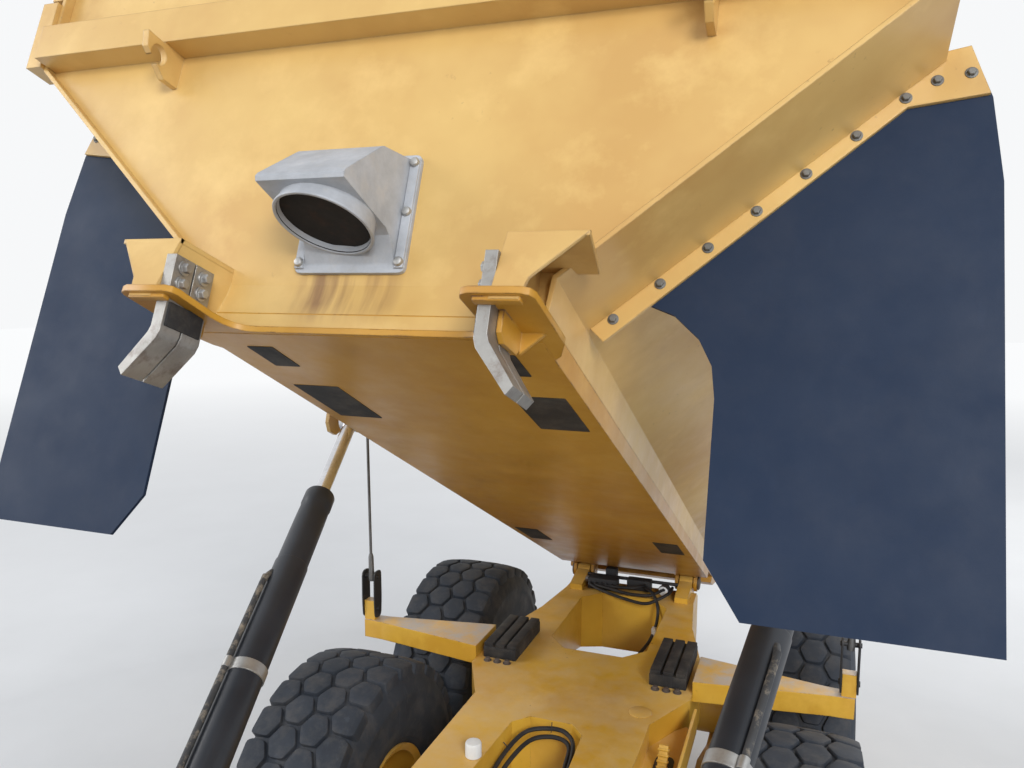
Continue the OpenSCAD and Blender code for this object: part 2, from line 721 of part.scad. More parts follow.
// How far the cross rib's ends stay from the sides, for its end welds
rib_short = 4;
module bed_front_wall() color(paint) in_bed() {
    intersection() {
        in_wall_local() translate([0, wall_t, 0]) sheet_xz([
            [-side_half - 200, -100], [side_half + 200, -100], [side_half + 200, guard_h - 425],
            [side_half - 320, guard_h], [-side_half + 320, guard_h], [-side_half - 200, guard_h - 425]
        ], wall_t);
        trough_inside(guard_h + 300, -bed_front - 600, -bed_front + 600);
    }
    in_wall_local() {
        // The cross rib, the top rib and the corner posts
        translate([-side_half + wall_t + rib_short, -90, 955])
            cube([2 * (side_half - wall_t - rib_short), 92, 125]);
        translate([-side_half + 340, -60, guard_h - 92]) cube([2 * side_half - 680, 62, 90]);
        both_sides() translate([side_half, -post_w / 2, knee_h + 15])
            cube([67, post_w, side_h - rail_h - knee_h - 25]);
        // The lifting eyes
        both_sides() translate([864, 0, 900]) difference() {
            sheet_yz([[2, -58], [-60, -62], [-150, 0], [-160, 50], [-88, 50], [-88, 60], [2, 60]], 22);
            translate([0, -100, 0]) bar_x(32, 60);
        }
    }
}
module in_wall_local() translate([0, -bed_front, 0]) rotate([wall_lean, 0, 0]) children();

// The cast elbow that takes the exhaust into the heated floor
elbow_x = -76;
elbow_h = 375;
module exhaust_inlet() color(steel) in_wall() translate([elbow_x, 0, elbow_h]) difference() {
    union() {
        translate([-174, -14, -175]) cube([348, 14, 350]);
        sheet_yz([[-14, -60], [-200, -90], [-240, 20], [-190, 140], [-14, 160]], 260);
        translate([0, -110, 0]) rotate([125, 0, 0]) cylinder(r = 105, h = 230);
    }
    translate([0, -110, 0]) rotate([125, 0, 0]) cylinder(r = 88, h = 300);
}

// The ears at the floor's front corners and the bent guide plates bolted to them
guide_x = 520;
module bed_guides() {
    color(steel) in_wall() both_sides() {
        translate([guide_x - 170, -200, 8]) cube([230, 166, 24]);
        translate([guide_x - 50, 0, 0]) sheet_yz([
            [-180, 31], [-34, 31], [-34, 66], [0, 66], [0, 205], [-40, 205]
        ], 20);
        translate([guide_x - 5, -218, 0])
            sheet_yz([[0, 200], [19, 200], [19, -56], [-50, -215], [-68, -208], [0, -60]], 110);
    }
}

// The bolted strips that the rubber flaps hang from, as [x, height along the wall]
strip_w = 75;
strip_t = 12;
strip_line = [
    [flank_half, flank_h - 15], [side_half - 40, knee_h - 5], [side_half + 60, knee_h + 15],
    [side_half + 105, knee_h - 129], [side_half - 90, knee_h - 155], [flank_half + 50, flank_h - 60]
];
module flap_strips() color(paint) both_sides() difference() {
    in_wall() translate([0, flap_back, 0]) sheet_xz(strip_line, strip_t);
    in_bed() trough_outside(-bed_front, 0);
}

flap_t = 12;
// Outline of a flap, as [x, height along the wall]
flap_end = -600;
flap_line = [
    [flank_half + 140, flank_h + 65], [flank_half + 240, flank_h + 25], [flank_half + 310, flank_h - 40],
    [flank_half + 350, flank_h - 115], [flank_half + 363, flank_h - 205], [flank_half + 365, flap_end + 140],
    [flank_half + 463, flap_end], [side_half + 136, flap_end], [side_half + 136, knee_h - 375],
    [side_half + 112, knee_h - 135], [side_half + 80, knee_h - 35], [side_half - 40, knee_h - 55]
];
module flaps() color(rubber) both_sides() difference() {
    in_wall() translate([0, flap_back + flap_t, 0]) sheet_xz(flap_line, flap_t);
    in_bed() trough_outside(-bed_front, 0);
}

module cable_sheaves() color(steel) in_bed() both_sides() translate([side_half, -1710, 780]) {
    translate([0, -60, -20]) cube([20, 120, 240]);
    translate([45, 0, 0]) bar_x(12, 60);
    translate([50, 0, 0]) bar_x(55, 30);
}

// Tailgate, made shut in the body and then opened about its pivot
gate_pivot_s = 950;
gate_pivot_h = 1250;
gate_pin_r = 30;
gate_top = 1130;
gate_t = 14;
arm_x = side_half + rail_w + pass_gap;
arm_plate = 30;
// How far the gate's plate is let into its arms
arm_sink = 2;
gate_y = bed_tail + pass_gap;
module tailgate() color(paint) in_bed() translate([0, -gate_pivot_s, gate_pivot_h]) rotate([gate_open, 0, 0])
    translate([0, gate_pivot_s, -gate_pivot_h]) {
        difference() {
            translate([0, gate_y + gate_t, 0]) sheet_xz([
                [-arm_x - arm_sink, gate_top], [-arm_x - arm_sink, knee_h], [-flank_half, flank_h - 40],
                [flank_half, flank_h - 40], [arm_x + arm_sink, knee_h], [arm_x + arm_sink, gate_top]
            ], gate_t);
            translate([-1000, 0, -500]) cube([2000, 3000, 500 + tail_rise - 10]);
        }
        for (z = [420, 740, gate_top - 80]) translate([-780 - (z - 420) * 0.95, gate_y + gate_t, z])
            cube([2 * (780 + (z - 420) * 0.95), 70, 80]);
        both_sides() translate([arm_x + arm_plate / 2, 0, 0]) difference() {
            union() {
                sheet_yz([
                    [-gate_pivot_s - 70, gate_pivot_h - 60], [-gate_pivot_s + 60, gate_pivot_h - 90],
                    [gate_y, knee_h - 20], [gate_y + 84, knee_h - 20], [gate_y + 84, gate_top],
                    [gate_y - 200, gate_top], [-gate_pivot_s + 20, gate_pivot_h + 75]
                ], arm_plate);
                translate([0, -gate_pivot_s, gate_pivot_h]) bar_x(80, arm_plate);
            }
            translate([0, -gate_pivot_s, gate_pivot_h]) bar_x(gate_pin_r + run_gap, 80);
        }
    }

// Hoist cylinders

// Upper pin's place in the truck, from the hinge line
head_place = [
    hoist_head_x,
    -hoist_head_s * cos(tip_angle) + hoist_head_h * sin(tip_angle),
    hinge_z + hoist_head_s * sin(tip_angle) + hoist_head_h * cos(tip_angle)
];
foot_place = [hoist_foot_x, hoist_foot_y, hoist_foot_z];
hoist_vec = head_place - foot_place;
hoist_len = norm(hoist_vec);

// Stands a cylinder on its lower pin: z runs along it
module on_hoist() on_line() translate(foot_place)
    rotate([0, acos(hoist_vec[2] / hoist_len), atan2(hoist_vec[1], hoist_vec[0])]) children();

gland = 60;
// Where the barrel starts, clear of the lugs beside its eye
barrel_foot = 100;
barrel_neck_r = 30;
foot_w = 90;
foot_pin_r = 37;
module on_foot() translate(foot_place) hoist_axis() children();
module hoist_barrel() color(black) {
    on_hoist() difference() {
        union() {
            translate([0, 0, barrel_foot]) cylinder(r = barrel_r, h = barrel_len - barrel_foot);
            translate([0, 0, 40]) cylinder(r = barrel_neck_r, h = barrel_foot - 39);
            translate([0, 0, barrel_len - 90]) cylinder(r = barrel_r + 8, h = 90);
        }
        translate([0, 0, barrel_foot + 20])
            cylinder(r = rod_r + 8, h = barrel_len - barrel_foot - 20 - gland);
        translate([0, 0, barrel_foot + 20]) cylinder(r = rod_r + run_gap, h = barrel_len);
    }
    on_line() on_foot() {
        bar_x(78, foot_w);
        bar_x(foot_pin_r - run_gap, foot_w + 2 * (5 + lug_t) + 8);
    }
}

rod_start = barrel_len - 1240;
module hoist_rod() color(steel) {
    on_hoist() translate([0, 0, rod_start]) cylinder(r = rod_r, h = hoist_len - rod_start);
    on_line() translate(head_place) bar_x(62, 90);
}

module hoist_barrel_left() hoist_barrel();
module hoist_barrel_right() mirror([1, 0, 0]) hoist_barrel();
module hoist_rod_left() hoist_rod();
module hoist_rod_right() mirror([1, 0, 0]) hoist_rod();

// Steering cylinders

steer_foot = [470, steer_y - 1200];
steer_eye = [340, steer_y + 50];
steer_len = norm(steer_eye - steer_foot);
steer_rod_r = 28;
steer_barrel_len = 760;
steer_barrel_foot = 74;
steer_boss_h = 70;
steer_pin_r = 25;
steer_lug_gap = 6;
steer_gland = 40;
// Lays a steering cylinder on its foot's pin: z runs along it
module on_steer() on_line() translate([steer_foot[0], steer_foot[1], osc_z])
    rotate([-90, 0, -atan((steer_eye[0] - steer_foot[0]) / (steer_eye[1] - steer_foot[1]))]) children();
module steer_barrel() color(black) difference() {
    union() {
        on_steer() translate([0, 0, steer_barrel_foot])
            cylinder(r = 52, h = steer_barrel_len - steer_barrel_foot);
        on_steer() translate([0, 0, 30]) cylinder(r = 34, h = steer_barrel_foot - 29);
        on_line() translate([steer_foot[0], steer_foot[1], osc_z]) bar_z(50, steer_boss_h);
    }
    on_steer() translate([0, 0, steer_barrel_foot + 14])
        cylinder(r = steer_rod_r + 6, h = steer_barrel_len - steer_barrel_foot - 14 - steer_gland);
    on_steer() translate([0, 0, steer_barrel_foot + 14]) cylinder(r = steer_rod_r + run_gap, h = 900);
    on_line() translate([steer_foot[0], steer_foot[1], osc_z]) bar_z(steer_pin_r + run_gap, 90);
}
module steer_rod() color(steel) {
    on_steer() translate([0, 0, 340]) cylinder(r = steer_rod_r, h = steer_len - 340);
    on_line() translate([steer_eye[0], steer_eye[1], osc_z]) bar_z(48, eye_h);
}
module steer_barrel_left() steer_barrel();
module steer_barrel_right() mirror([1, 0, 0]) steer_barrel();
module steer_rod_left() steer_rod();
module steer_rod_right() mirror([1, 0, 0]) steer_rod();

// Wheels

// Height of the rim's flange
flange_h = 26;
// Cross-section of a tyre, as [radius, half width]
tyre_half = [
    [rim_r, rim_w / 2], [rim_r + flange_h, rim_w / 2], [rim_r + 70, rim_w / 2 + 24],
    [rim_r + 190, tyre_w / 2],
    [tyre_r - 190, tyre_w / 2 - 4], [tyre_r - 90, tyre_w / 2 - 22], [tyre_r - 30, tyre_w / 2 - 42],
    [tyre_r - 6, tyre_w / 2 - 80], [tyre_r, tyre_w / 2 - 150]
];
module tyre_shape() rotate([0, 90, 0]) rotate_extrude($fn = 96) polygon(concat(
    tyre_half, [for (i = [len(tyre_half) - 1 : -1 : 0]) [tyre_half[i][0], -tyre_half[i][1]]]
));

// Cross-section of a rim, as [radius, place along the axle]
module rim_shape() difference() {
    rotate([0, 90, 0]) rotate_extrude($fn = 96) polygon([
        [spindle_r + run_gap, -90], [190, -90], [190, -40], [rim_r - 14, -40], [rim_r - 14, -rim_w / 2],
        [rim_r + flange_h, -rim_w / 2 - 20], [rim_r + flange_h, -rim_w / 2], [rim_r, -rim_w / 2],
        [rim_r, rim_w / 2], [rim_r + flange_h, rim_w / 2], [rim_r + flange_h, rim_w / 2 + 20],
        [rim_r - 14, rim_w / 2], [rim_r - 14, -10], [200, -10], [200, 110], [120, 150],
        [spindle_r + run_gap, 150]
    ]);
    for (a = [0 : 45 : 359]) rotate([a, 0, 0]) translate([0, 0, 255]) bar_x(28, 200);
}

// One table of the wheels: [name, side, place along the truck]
wheels = [
    ["fl", 1, front_axle_y], ["fr", -1, front_axle_y], ["ml", 1, mid_axle_y],
    ["mr", -1, mid_axle_y], ["rl", 1, rear_axle_y], ["rr", -1, rear_axle_y]
];
module at_wheel(name) {
    w = [for (row = wheels) if (row[0] == name) row][0];
    on_line() translate([w[1] * track_half, w[2], axle_z]) mirror([w[1] < 0 ? 1 : 0, 0, 0]) children();
}
module tyre(name) color(rubber) at_wheel(name) tyre_shape();
module rim(name) color(paint) at_wheel(name) rim_shape();

rear_frame();
cable_arms();
rest_pads();
bogie_beams();
bogie_axles();
drive_shafts();
exhaust_stack();
rear_lamps();
hitch();
front_frame();
engine();
front_axle();
fenders();
access_steps();
bumper();
cab_shell();
cab_glass();
cab_interior();
mirrors();
hood();
grille();
door();
door_glass();
bed_floor();
bed_sides();
bed_front_wall();
exhaust_inlet();
bed_guides();
flap_strips();
flaps();
cable_sheaves();
tailgate();
hoist_barrel_left();
hoist_barrel_right();
hoist_rod_left();
hoist_rod_right();
steer_barrel_left();
steer_barrel_right();
steer_rod_left();
steer_rod_right();
tyre("fl");  // tyre_fl
tyre("fr");  // tyre_fr
tyre("ml");  // tyre_ml
tyre("mr");  // tyre_mr
tyre("rl");  // tyre_rl
tyre("rr");  // tyre_rr
rim("fl");  // rim_fl
rim("fr");  // rim_fr
rim("ml");  // rim_ml
rim("mr");  // rim_mr
rim("rl");  // rim_rl
rim("rr");  // rim_rr
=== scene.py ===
import bmesh
import bpy
import json
import math
import random
from bpy.props import FloatProperty, FloatVectorProperty, IntProperty, PointerProperty
from mathutils import Matrix, Vector


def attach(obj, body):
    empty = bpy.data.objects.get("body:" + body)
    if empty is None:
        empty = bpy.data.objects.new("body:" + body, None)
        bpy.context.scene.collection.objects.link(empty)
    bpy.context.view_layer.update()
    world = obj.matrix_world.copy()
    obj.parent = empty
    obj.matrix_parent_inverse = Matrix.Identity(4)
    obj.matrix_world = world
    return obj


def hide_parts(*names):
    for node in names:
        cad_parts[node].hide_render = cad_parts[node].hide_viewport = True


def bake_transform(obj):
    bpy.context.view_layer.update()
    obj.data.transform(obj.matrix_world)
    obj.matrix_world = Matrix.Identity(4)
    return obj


bl_info = {
    "name": "Articulated dump truck",
    "version": (1, 0, 0),
    "blender": (4, 5, 0),
    "location": "View3D > Sidebar > Dump Truck",
    "description": "Dresses the packed dump truck with its finishes, tyres and fittings",
    "category": "Object",
}

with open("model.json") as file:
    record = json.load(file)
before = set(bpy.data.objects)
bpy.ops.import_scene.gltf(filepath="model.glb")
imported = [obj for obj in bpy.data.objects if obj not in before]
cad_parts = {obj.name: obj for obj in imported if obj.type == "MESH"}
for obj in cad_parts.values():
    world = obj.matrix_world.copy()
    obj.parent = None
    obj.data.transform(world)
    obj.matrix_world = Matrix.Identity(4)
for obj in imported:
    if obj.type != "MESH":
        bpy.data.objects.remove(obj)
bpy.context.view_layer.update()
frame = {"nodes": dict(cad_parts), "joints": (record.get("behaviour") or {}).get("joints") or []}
NODES = frame["nodes"]
JOINTS = {joint["name"]: joint for joint in frame["joints"]}
SIDES = (("left", 1), ("right", -1))

# The dump body as the part's source has it: its hinge, how far it's raised at rest, the lean
# of its front wall, the floor's height over the hinge line and its reach in front of it
HINGE = Vector(JOINTS["bed_tip"]["pos_m"])
TIP = math.radians(26.8)
LEAN = math.radians(6.1)
FLOOR_LIFT = 0.027
FLOOR_FRONT = 4.224

# Frames to build in: the truck measured from the hinge line, the body, and its front wall,
# where y is the depth behind the wall's face and z the height along it
TRUCK = Matrix.Translation((0, HINGE.y, 0))
BED = Matrix.Translation(HINGE) @ Matrix.Rotation(-TIP, 4, "X") @ Matrix.Translation((0, 0, FLOOR_LIFT))
WALL = BED @ Matrix.Translation((0, -FLOOR_FRONT, 0)) @ Matrix.Rotation(LEAN, 4, "X")

# Height of the rear frame's deck, and the way the truck faces
DECK = 1.505
FORWARD = (0, -1, 0)

# How far each wheel is turned at rest, in degrees, so that no two tyres look alike
WHEEL_TURN = {"fl": 4, "fr": 9, "ml": 0, "mr": 7, "rl": 15, "rr": 21}


def spot(x, y, z):
    """A place from the hinge line along the truck, with its height above the ground."""
    return Vector((x, HINGE.y + y, z))


def wheel_middle(wheel):
    return Vector(JOINTS[f"wheel_spin_{wheel}"]["pos_m"])


def on_side(side, points):
    """Points given for the left side, mirrored where the side is -1."""
    return [(side * x, *rest) for x, *rest in points]


# Sizes and colours

def metres(name, text, value):
    return FloatProperty(name=name, description=text, default=value, min=0.0, unit="LENGTH")


def paint_colour(name, text, value):
    return FloatVectorProperty(
        name=name, description=text, default=value, size=3, min=0.0, max=1.0, subtype="COLOR"
    )


class DT_PG_paints(bpy.types.PropertyGroup):
    body: paint_colour("Body paint", "Warm yellow of the sunlit panels", (0.635, 0.425, 0.142))
    shade: paint_colour("Frame paint", "Deeper yellow of the frame", (0.7, 0.415, 0.046))
    # Painted shade: the floor's paint is the frame's yellow made darker and browner for the floor's underside,
    # which faces down
    floor: paint_colour("Floor paint", "Brownish yellow of the floor's underside", (0.52, 0.27, 0.024))
    dust: paint_colour("Dust", "Pale dust on the upper faces", (0.62, 0.52, 0.38))
    rust: paint_colour("Rust", "Brown of the scuffed edges", (0.1, 0.04, 0.018))
    flap: paint_colour("Flap rubber", "Blue-grey of the rubber flaps", (0.0012, 0.012, 0.038))
    tread: paint_colour("Tyre rubber", "Charcoal of the worn tyres", (0.018, 0.023, 0.032))


class DT_PG_tyre(bpy.types.PropertyGroup):
    radius: metres("Outer radius", "Radius over the tread blocks", 0.803)
    width: metres("Width", "Width over the side walls", 0.617)
    rim_radius: metres("Rim radius", "Radius of the bead seat", 0.33)
    groove: metres("Groove depth", "Depth of the tread between its blocks", 0.026)
    gap: metres("Groove width", "Width of the tread's grooves", 0.02)
    rows: IntProperty(
        name="Block rows", description="Tread blocks round the tyre in one column", default=28, min=8
    )


class DT_PG_fittings(bpy.types.PropertyGroup):
    bolt: metres("Bolt radius", "Radius of the strips' bolt heads", 0.011)
    wire: metres("Wire radius", "Radius of the tailgate's wires", 0.009)
    hose: metres("Hose radius", "Radius of the black hoses", 0.011)
    pipe: metres("Pipe radius", "Radius of the pipes on the hoist barrels", 0.014)


# Mesh building

def circle(steps, start=0.0):
    """The directions (cos, sin) of equal steps round a circle."""
    angles = (2 * math.pi * (i + start) / steps for i in range(steps))
    return [(math.cos(a), math.sin(a)) for a in angles]


def placed(name, data, place=None):
    """Adds an object to the scene."""
    made = bpy.data.objects.new(name, data)
    bpy.context.scene.collection.objects.link(made)
    if place is not None:
        made.matrix_world = place
    return made


class Form:
    """Collects corners and faces, then makes one mesh of them."""

    def __init__(self, place=Matrix.Identity(4)):
        self.place = place
        self.corners = []
        self.faces = []

    def add(self, corners, faces, place=None):
        place = self.place @ place if place is not None else self.place
        start = len(self.corners)
        self.corners += [place @ Vector(c) for c in corners]
        self.faces += [tuple(start + i for i in face) for face in faces]
        return self

    def ring_skin(self, rings, place=None, cap_start=False, cap_end=False):
        """Skins closed rings that have the same number of corners."""
        count = len(rings[0])
        corners = [c for ring in rings for c in ring]
        faces = []
        for r in range(len(rings) - 1):
            for i in range(count):
                j = (i + 1) % count
                faces.append((r * count + i, r * count + j, (r + 1) * count + j, (r + 1) * count + i))
        if cap_start:
            faces.append(tuple(reversed(range(count))))
        if cap_end:
            faces.append(tuple((len(rings) - 1) * count + i for i in range(count)))
        return self.add(corners, faces, place)

    def block(self, low, high, edge=0.004, place=None):
        """A box with rounded edges."""
        low, high = Vector(low), Vector(high)
        middle, half = (low + high) / 2, (high - low) / 2
        edge = min(edge, *(h * 0.45 for h in half))
        bm = bmesh.new()
        bmesh.ops.create_cube(bm, size=2.0)
        for v in bm.verts:
            v.co = Vector((v.co.x * half.x, v.co.y * half.y, v.co.z * half.z)) + middle
        bmesh.ops.bevel(bm, geom=bm.edges[:], offset=edge, segments=2, affect="EDGES", profile=0.6)
        bm.verts.index_update()
        corners = [v.co.copy() for v in bm.verts]
        faces = [tuple(v.index for v in f.verts) for f in bm.faces]
        bm.free()
        return self.add(corners, faces, place)

    def side_block(self, side, low, high, edge=0.004):
        """A block on one side of the truck, from two corners given for the left side."""
        x0, x1 = sorted((side * low[0], side * high[0]))
        return self.block((x0, *low[1:]), (x1, *high[1:]), edge)

    def turned(self, profile, steps=32, place=None, cap_start=True):
        """Turns a profile of (radius, height) about Z, capped at its ends."""
        rings = [[(r * c, r * s, z) for c, s in circle(steps)] for r, z in profile]
        return self.ring_skin(rings, place, cap_start=cap_start, cap_end=True)

    def hoop(self, profile, steps=40, place=None):
        """Turns a closed profile of (radius, height) about Z into a ring with an open middle."""
        rings = [[(r * c, r * s, z) for r, z in profile] for c, s in circle(steps)]
        return self.ring_skin(rings + [rings[0]], place)

    def prism(self, start, end, place=None):
        """A solid between two outlines that have the same number of corners."""
        return self.ring_skin([start, end], place, cap_start=True, cap_end=True)

    def slab(self, outline, low, high):
        """A level plate from an outline of (x, y) between two heights."""
        return self.prism([(x, y, low) for x, y in outline], [(x, y, high) for x, y in outline])

    def side_plate(self, outline, x, thick, place=None):
        """A plate that stands along the truck, from an outline of (y, z)."""
        return self.prism([(x, y, z) for y, z in outline], [(x + thick, y, z) for y, z in outline], place)

    def plate(self, outline, depth, place=None):
        """A plate that faces the front, from an outline of (x, z), depth deep along +Y."""
        return self.prism([(x, 0.0, z) for x, z in outline], [(x, depth, z) for x, z in outline], place)

    def pillow(self, low, high):
        """A stuffed block with full, rounded faces."""
        low, high = Vector(low), Vector(high)
        middle, half = (low + high) / 2, (high - low) / 2
        fullness, rows, columns, pole = 0.35, 24, 40, 1.55

        def full(value):
            return math.copysign(abs(value) ** fullness, value)

        rings = []
        for i in range(rows + 1):
            a = max(-pole, min(pole, -math.pi / 2 + math.pi * i / rows))
            wide, tall = full(math.cos(a)), full(math.sin(a))
            rings.append([
                middle + Vector((half.x * wide * full(c), half.y * wide * full(s), half.z * tall))
                for c, s in circle(columns, 0.5)
            ])
        return self.ring_skin(rings, cap_start=True, cap_end=True)

    def tube(self, points, radius, steps=10, place=None):
        """A round tube along points, with its ends capped."""
        points = [Vector(p) for p in points]
        rings = []
        side = None
        for i, p in enumerate(points):
            along = (points[min(i + 1, len(points) - 1)] - points[max(i - 1, 0)]).normalized()
            if side is None:
                side = along.orthogonal().normalized()
            side = (side - along * side.dot(along)).normalized()
            up = along.cross(side)
            rings.append([p + radius * (c * side + s * up) for c, s in circle(steps)])
        return self.ring_skin(rings, place, cap_start=True, cap_end=True)

    def bolt(self, place, radius, height):
        """A hexagon head on its washer; the shank's way is -Z."""
        washer = radius * 1.45
        self.turned([(washer, -0.001), (washer, height * 0.18), (radius, height * 0.2)], 20, place)
        head = ((radius, height * 0.15), (radius, height * 0.85), (radius * 0.86, height))
        return self.ring_skin([[(r * c, r * s, z) for c, s in circle(6)] for r, z in head], place, cap_end=True)

    def made(self, name, body, slot, look, sharp=35.0):
        """Makes the object, which rides on a body and takes a finish."""
        mesh = bpy.data.meshes.new(name)
        mesh.from_pydata([tuple(c) for c in self.corners], [], self.faces)
        mesh.validate()
        bm = bmesh.new()
        bm.from_mesh(mesh)
        bmesh.ops.recalc_face_normals(bm, faces=bm.faces[:])
        bm.to_mesh(mesh)
        bm.free()
        mesh.polygons.foreach_set("use_smooth", [True] * len(mesh.polygons))
        mesh.set_sharp_from_angle(angle=math.radians(sharp))
        mesh.materials.append(FINISH[look].material)
        piece = placed(name, mesh)
        if body:
            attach(piece, body)
        return piece


def smooth_path(points, steps=6):
    """A smooth line through the points."""
    points = [Vector(p) for p in points]
    padded = [2 * points[0] - points[1], *points, 2 * points[-1] - points[-2]]
    line = []
    for i in range(1, len(padded) - 2):
        p0, p1, p2, p3 = padded[i - 1:i + 3]
        for k in range(steps):
            t = k / steps
            line.append(0.5 * (
                2 * p1 + (p2 - p0) * t + (2 * p0 - 5 * p1 + 4 * p2 - p3) * t * t
                + (3 * p1 - p0 - 3 * p2 + p3) * t ** 3
            ))
    line.append(points[-1])
    return line


def corner_bend(here, before, after, reach, steps):
    """Points of the bend that rounds a corner, as far as reach says on each side."""
    a = here + (before - here).normalized() * min(reach, (before - here).length * 0.45)
    b = here + (after - here).normalized() * min(reach, (after - here).length * 0.45)
    shares = (k / steps for k in range(steps + 1))
    return [a * (1 - t) ** 2 + here * 2 * t * (1 - t) + b * t * t for t in shares]


def rounded(outline, radius, steps=4):
    """An outline with its corners rounded."""
    corners = [Vector(c) for c in outline]
    made = []
    for i, here in enumerate(corners):
        made += corner_bend(here, corners[i - 1], corners[(i + 1) % len(corners)], radius, steps)
    return [tuple(c) for c in made]


def box_outline(left, right, low, high):
    """The four corners of a rectangle."""
    return [(left, low), (right, low), (right, high), (left, high)]


def facing(place, direction):
    """A matrix at a place whose Z runs along a direction."""
    return Matrix.Translation(place) @ Vector(direction).to_track_quat("Z", "Y").to_matrix().to_4x4()


# Finishes

# The shader's sockets by the short names that the finishes use
SOCKETS = {
    "metal": "Metallic", "rough": "Roughness", "specular": "Specular IOR Level", "ior": "IOR",
    "coat": "Coat Weight", "coat_rough": "Coat Roughness", "clear": "Transmission Weight",
    "glow": "Emission Color",
}


class Finish:
    """Builds one node material."""

    def __init__(self, name):
        self.material = bpy.data.materials.new(name)
        self.material.use_nodes = True
        self.tree = self.material.node_tree
        self.tree.nodes.clear()
        self.shader = self.node("ShaderNodeBsdfPrincipled")
        self.out = self.node("ShaderNodeOutputMaterial")
        self.link(self.shader.outputs[0], self.out.inputs[0])
        self.where = self.node("ShaderNodeTexCoord")

    def node(self, kind, sockets=None, **values):
        """Adds a node with values of its own and of its sockets."""
        made = self.tree.nodes.new(kind)
        for key, value in values.items():
            setattr(made, key, value)
        for key, value in (sockets or {}).items():
            made.inputs[key].default_value = value
        return made

    def link(self, a, b):
        self.tree.links.new(a, b)

    def set(self, **values):
        """Sets values that are the same all over, on the shader's own sockets."""
        for key, value in values.items():
            if isinstance(value, tuple):
                value = (*value, 1.0)
            self.shader.inputs[SOCKETS[key]].default_value = value
        return self

    def noise(self, scale, detail=4.0, rough=0.55, stretch=(1, 1, 1), where=None):
        mapping = self.node("ShaderNodeMapping", {"Scale": stretch})
        self.link(where or self.where.outputs["Object"], mapping.inputs["Vector"])
        found = self.node("ShaderNodeTexNoise", {"Scale": scale, "Detail": detail, "Roughness": rough})
        self.link(mapping.outputs[0], found.inputs["Vector"])
        return found.outputs["Fac"]

    def mapped(self, value, start, end, low=0.0, high=1.0):
        """Maps a value from start..end to low..high."""
        found = self.node("ShaderNodeMapRange", {
            "From Min": start, "From Max": end, "To Min": low, "To Max": high,
        })
        self.link(value, found.inputs["Value"])
        return found.outputs[0]

    def band(self, value, low, high, flip=False):
        """Maps a value from low..high to 0..1, or to 1..0."""
        return self.mapped(value, low, high, 1.0, 0.0) if flip else self.mapped(value, low, high)

    def maths(self, kind, a, b):
        found = self.node("ShaderNodeMath", operation=kind)
        for i, value in enumerate((a, b)):
            if isinstance(value, (int, float)):
                found.inputs[i].default_value = value
            else:
                self.link(value, found.inputs[i])
        return found.outputs[0]

    def times(self, a, b):
        return self.maths("MULTIPLY", a, b)

    def blend(self, share, a, b):
        """Mixes two colours, each a socket or three numbers."""
        found = self.node("ShaderNodeMix", data_type="RGBA")
        self.link(share, found.inputs[0])
        for i, value in ((6, a), (7, b)):
            if isinstance(value, bpy.types.NodeSocket):
                self.link(value, found.inputs[i])
            else:
                found.inputs[i].default_value = (*tuple(value)[:3], 1.0)
        return found.outputs[2]

    def upward(self):
        """How far a face points up in its own piece's frame."""
        split = self.node("ShaderNodeSeparateXYZ")
        self.link(self.where.outputs["Normal"], split.inputs[0])
        return split.outputs["Z"]

    def rounding(self, radius):
        """The normal of edges that look rounded."""
        return self.node("ShaderNodeBevel", {"Radius": radius}, samples=4).outputs[0]

    def edges(self):
        """1 at worn edges and 0 elsewhere."""
        dot = self.node("ShaderNodeVectorMath", operation="DOT_PRODUCT")
        self.link(self.rounding(0.008), dot.inputs[0])
        self.link(self.node("ShaderNodeNewGeometry").outputs["Normal"], dot.inputs[1])
        return self.band(dot.outputs["Value"], 0.8, 0.985, flip=True)

    def colour(self, value):
        self.link(value, self.shader.inputs["Base Color"])

    def rough(self, value):
        self.link(value, self.shader.inputs["Roughness"])

    def uneven_rough(self, scale, detail, low, high):
        """Roughness that wanders between two values."""
        self.rough(self.mapped(self.noise(scale, detail, 0.6), 0.0, 1.0, low, high))

    def surface(self, height, strength, distance=0.002, round_edges=0.0):
        """A bump, on edges that look rounded where that is asked for."""
        bump = self.node("ShaderNodeBump", {"Strength": strength, "Distance": distance})
        self.link(height, bump.inputs["Height"])
        if round_edges:
            self.link(self.rounding(round_edges), bump.inputs["Normal"])
        self.link(bump.outputs[0], self.shader.inputs["Normal"])


def shaded(colour, factor=1.0, lift=0.0):
    """A colour made darker or paler, and never brighter than white."""
    return tuple(min(1.0, c * factor + lift) for c in tuple(colour)[:3])


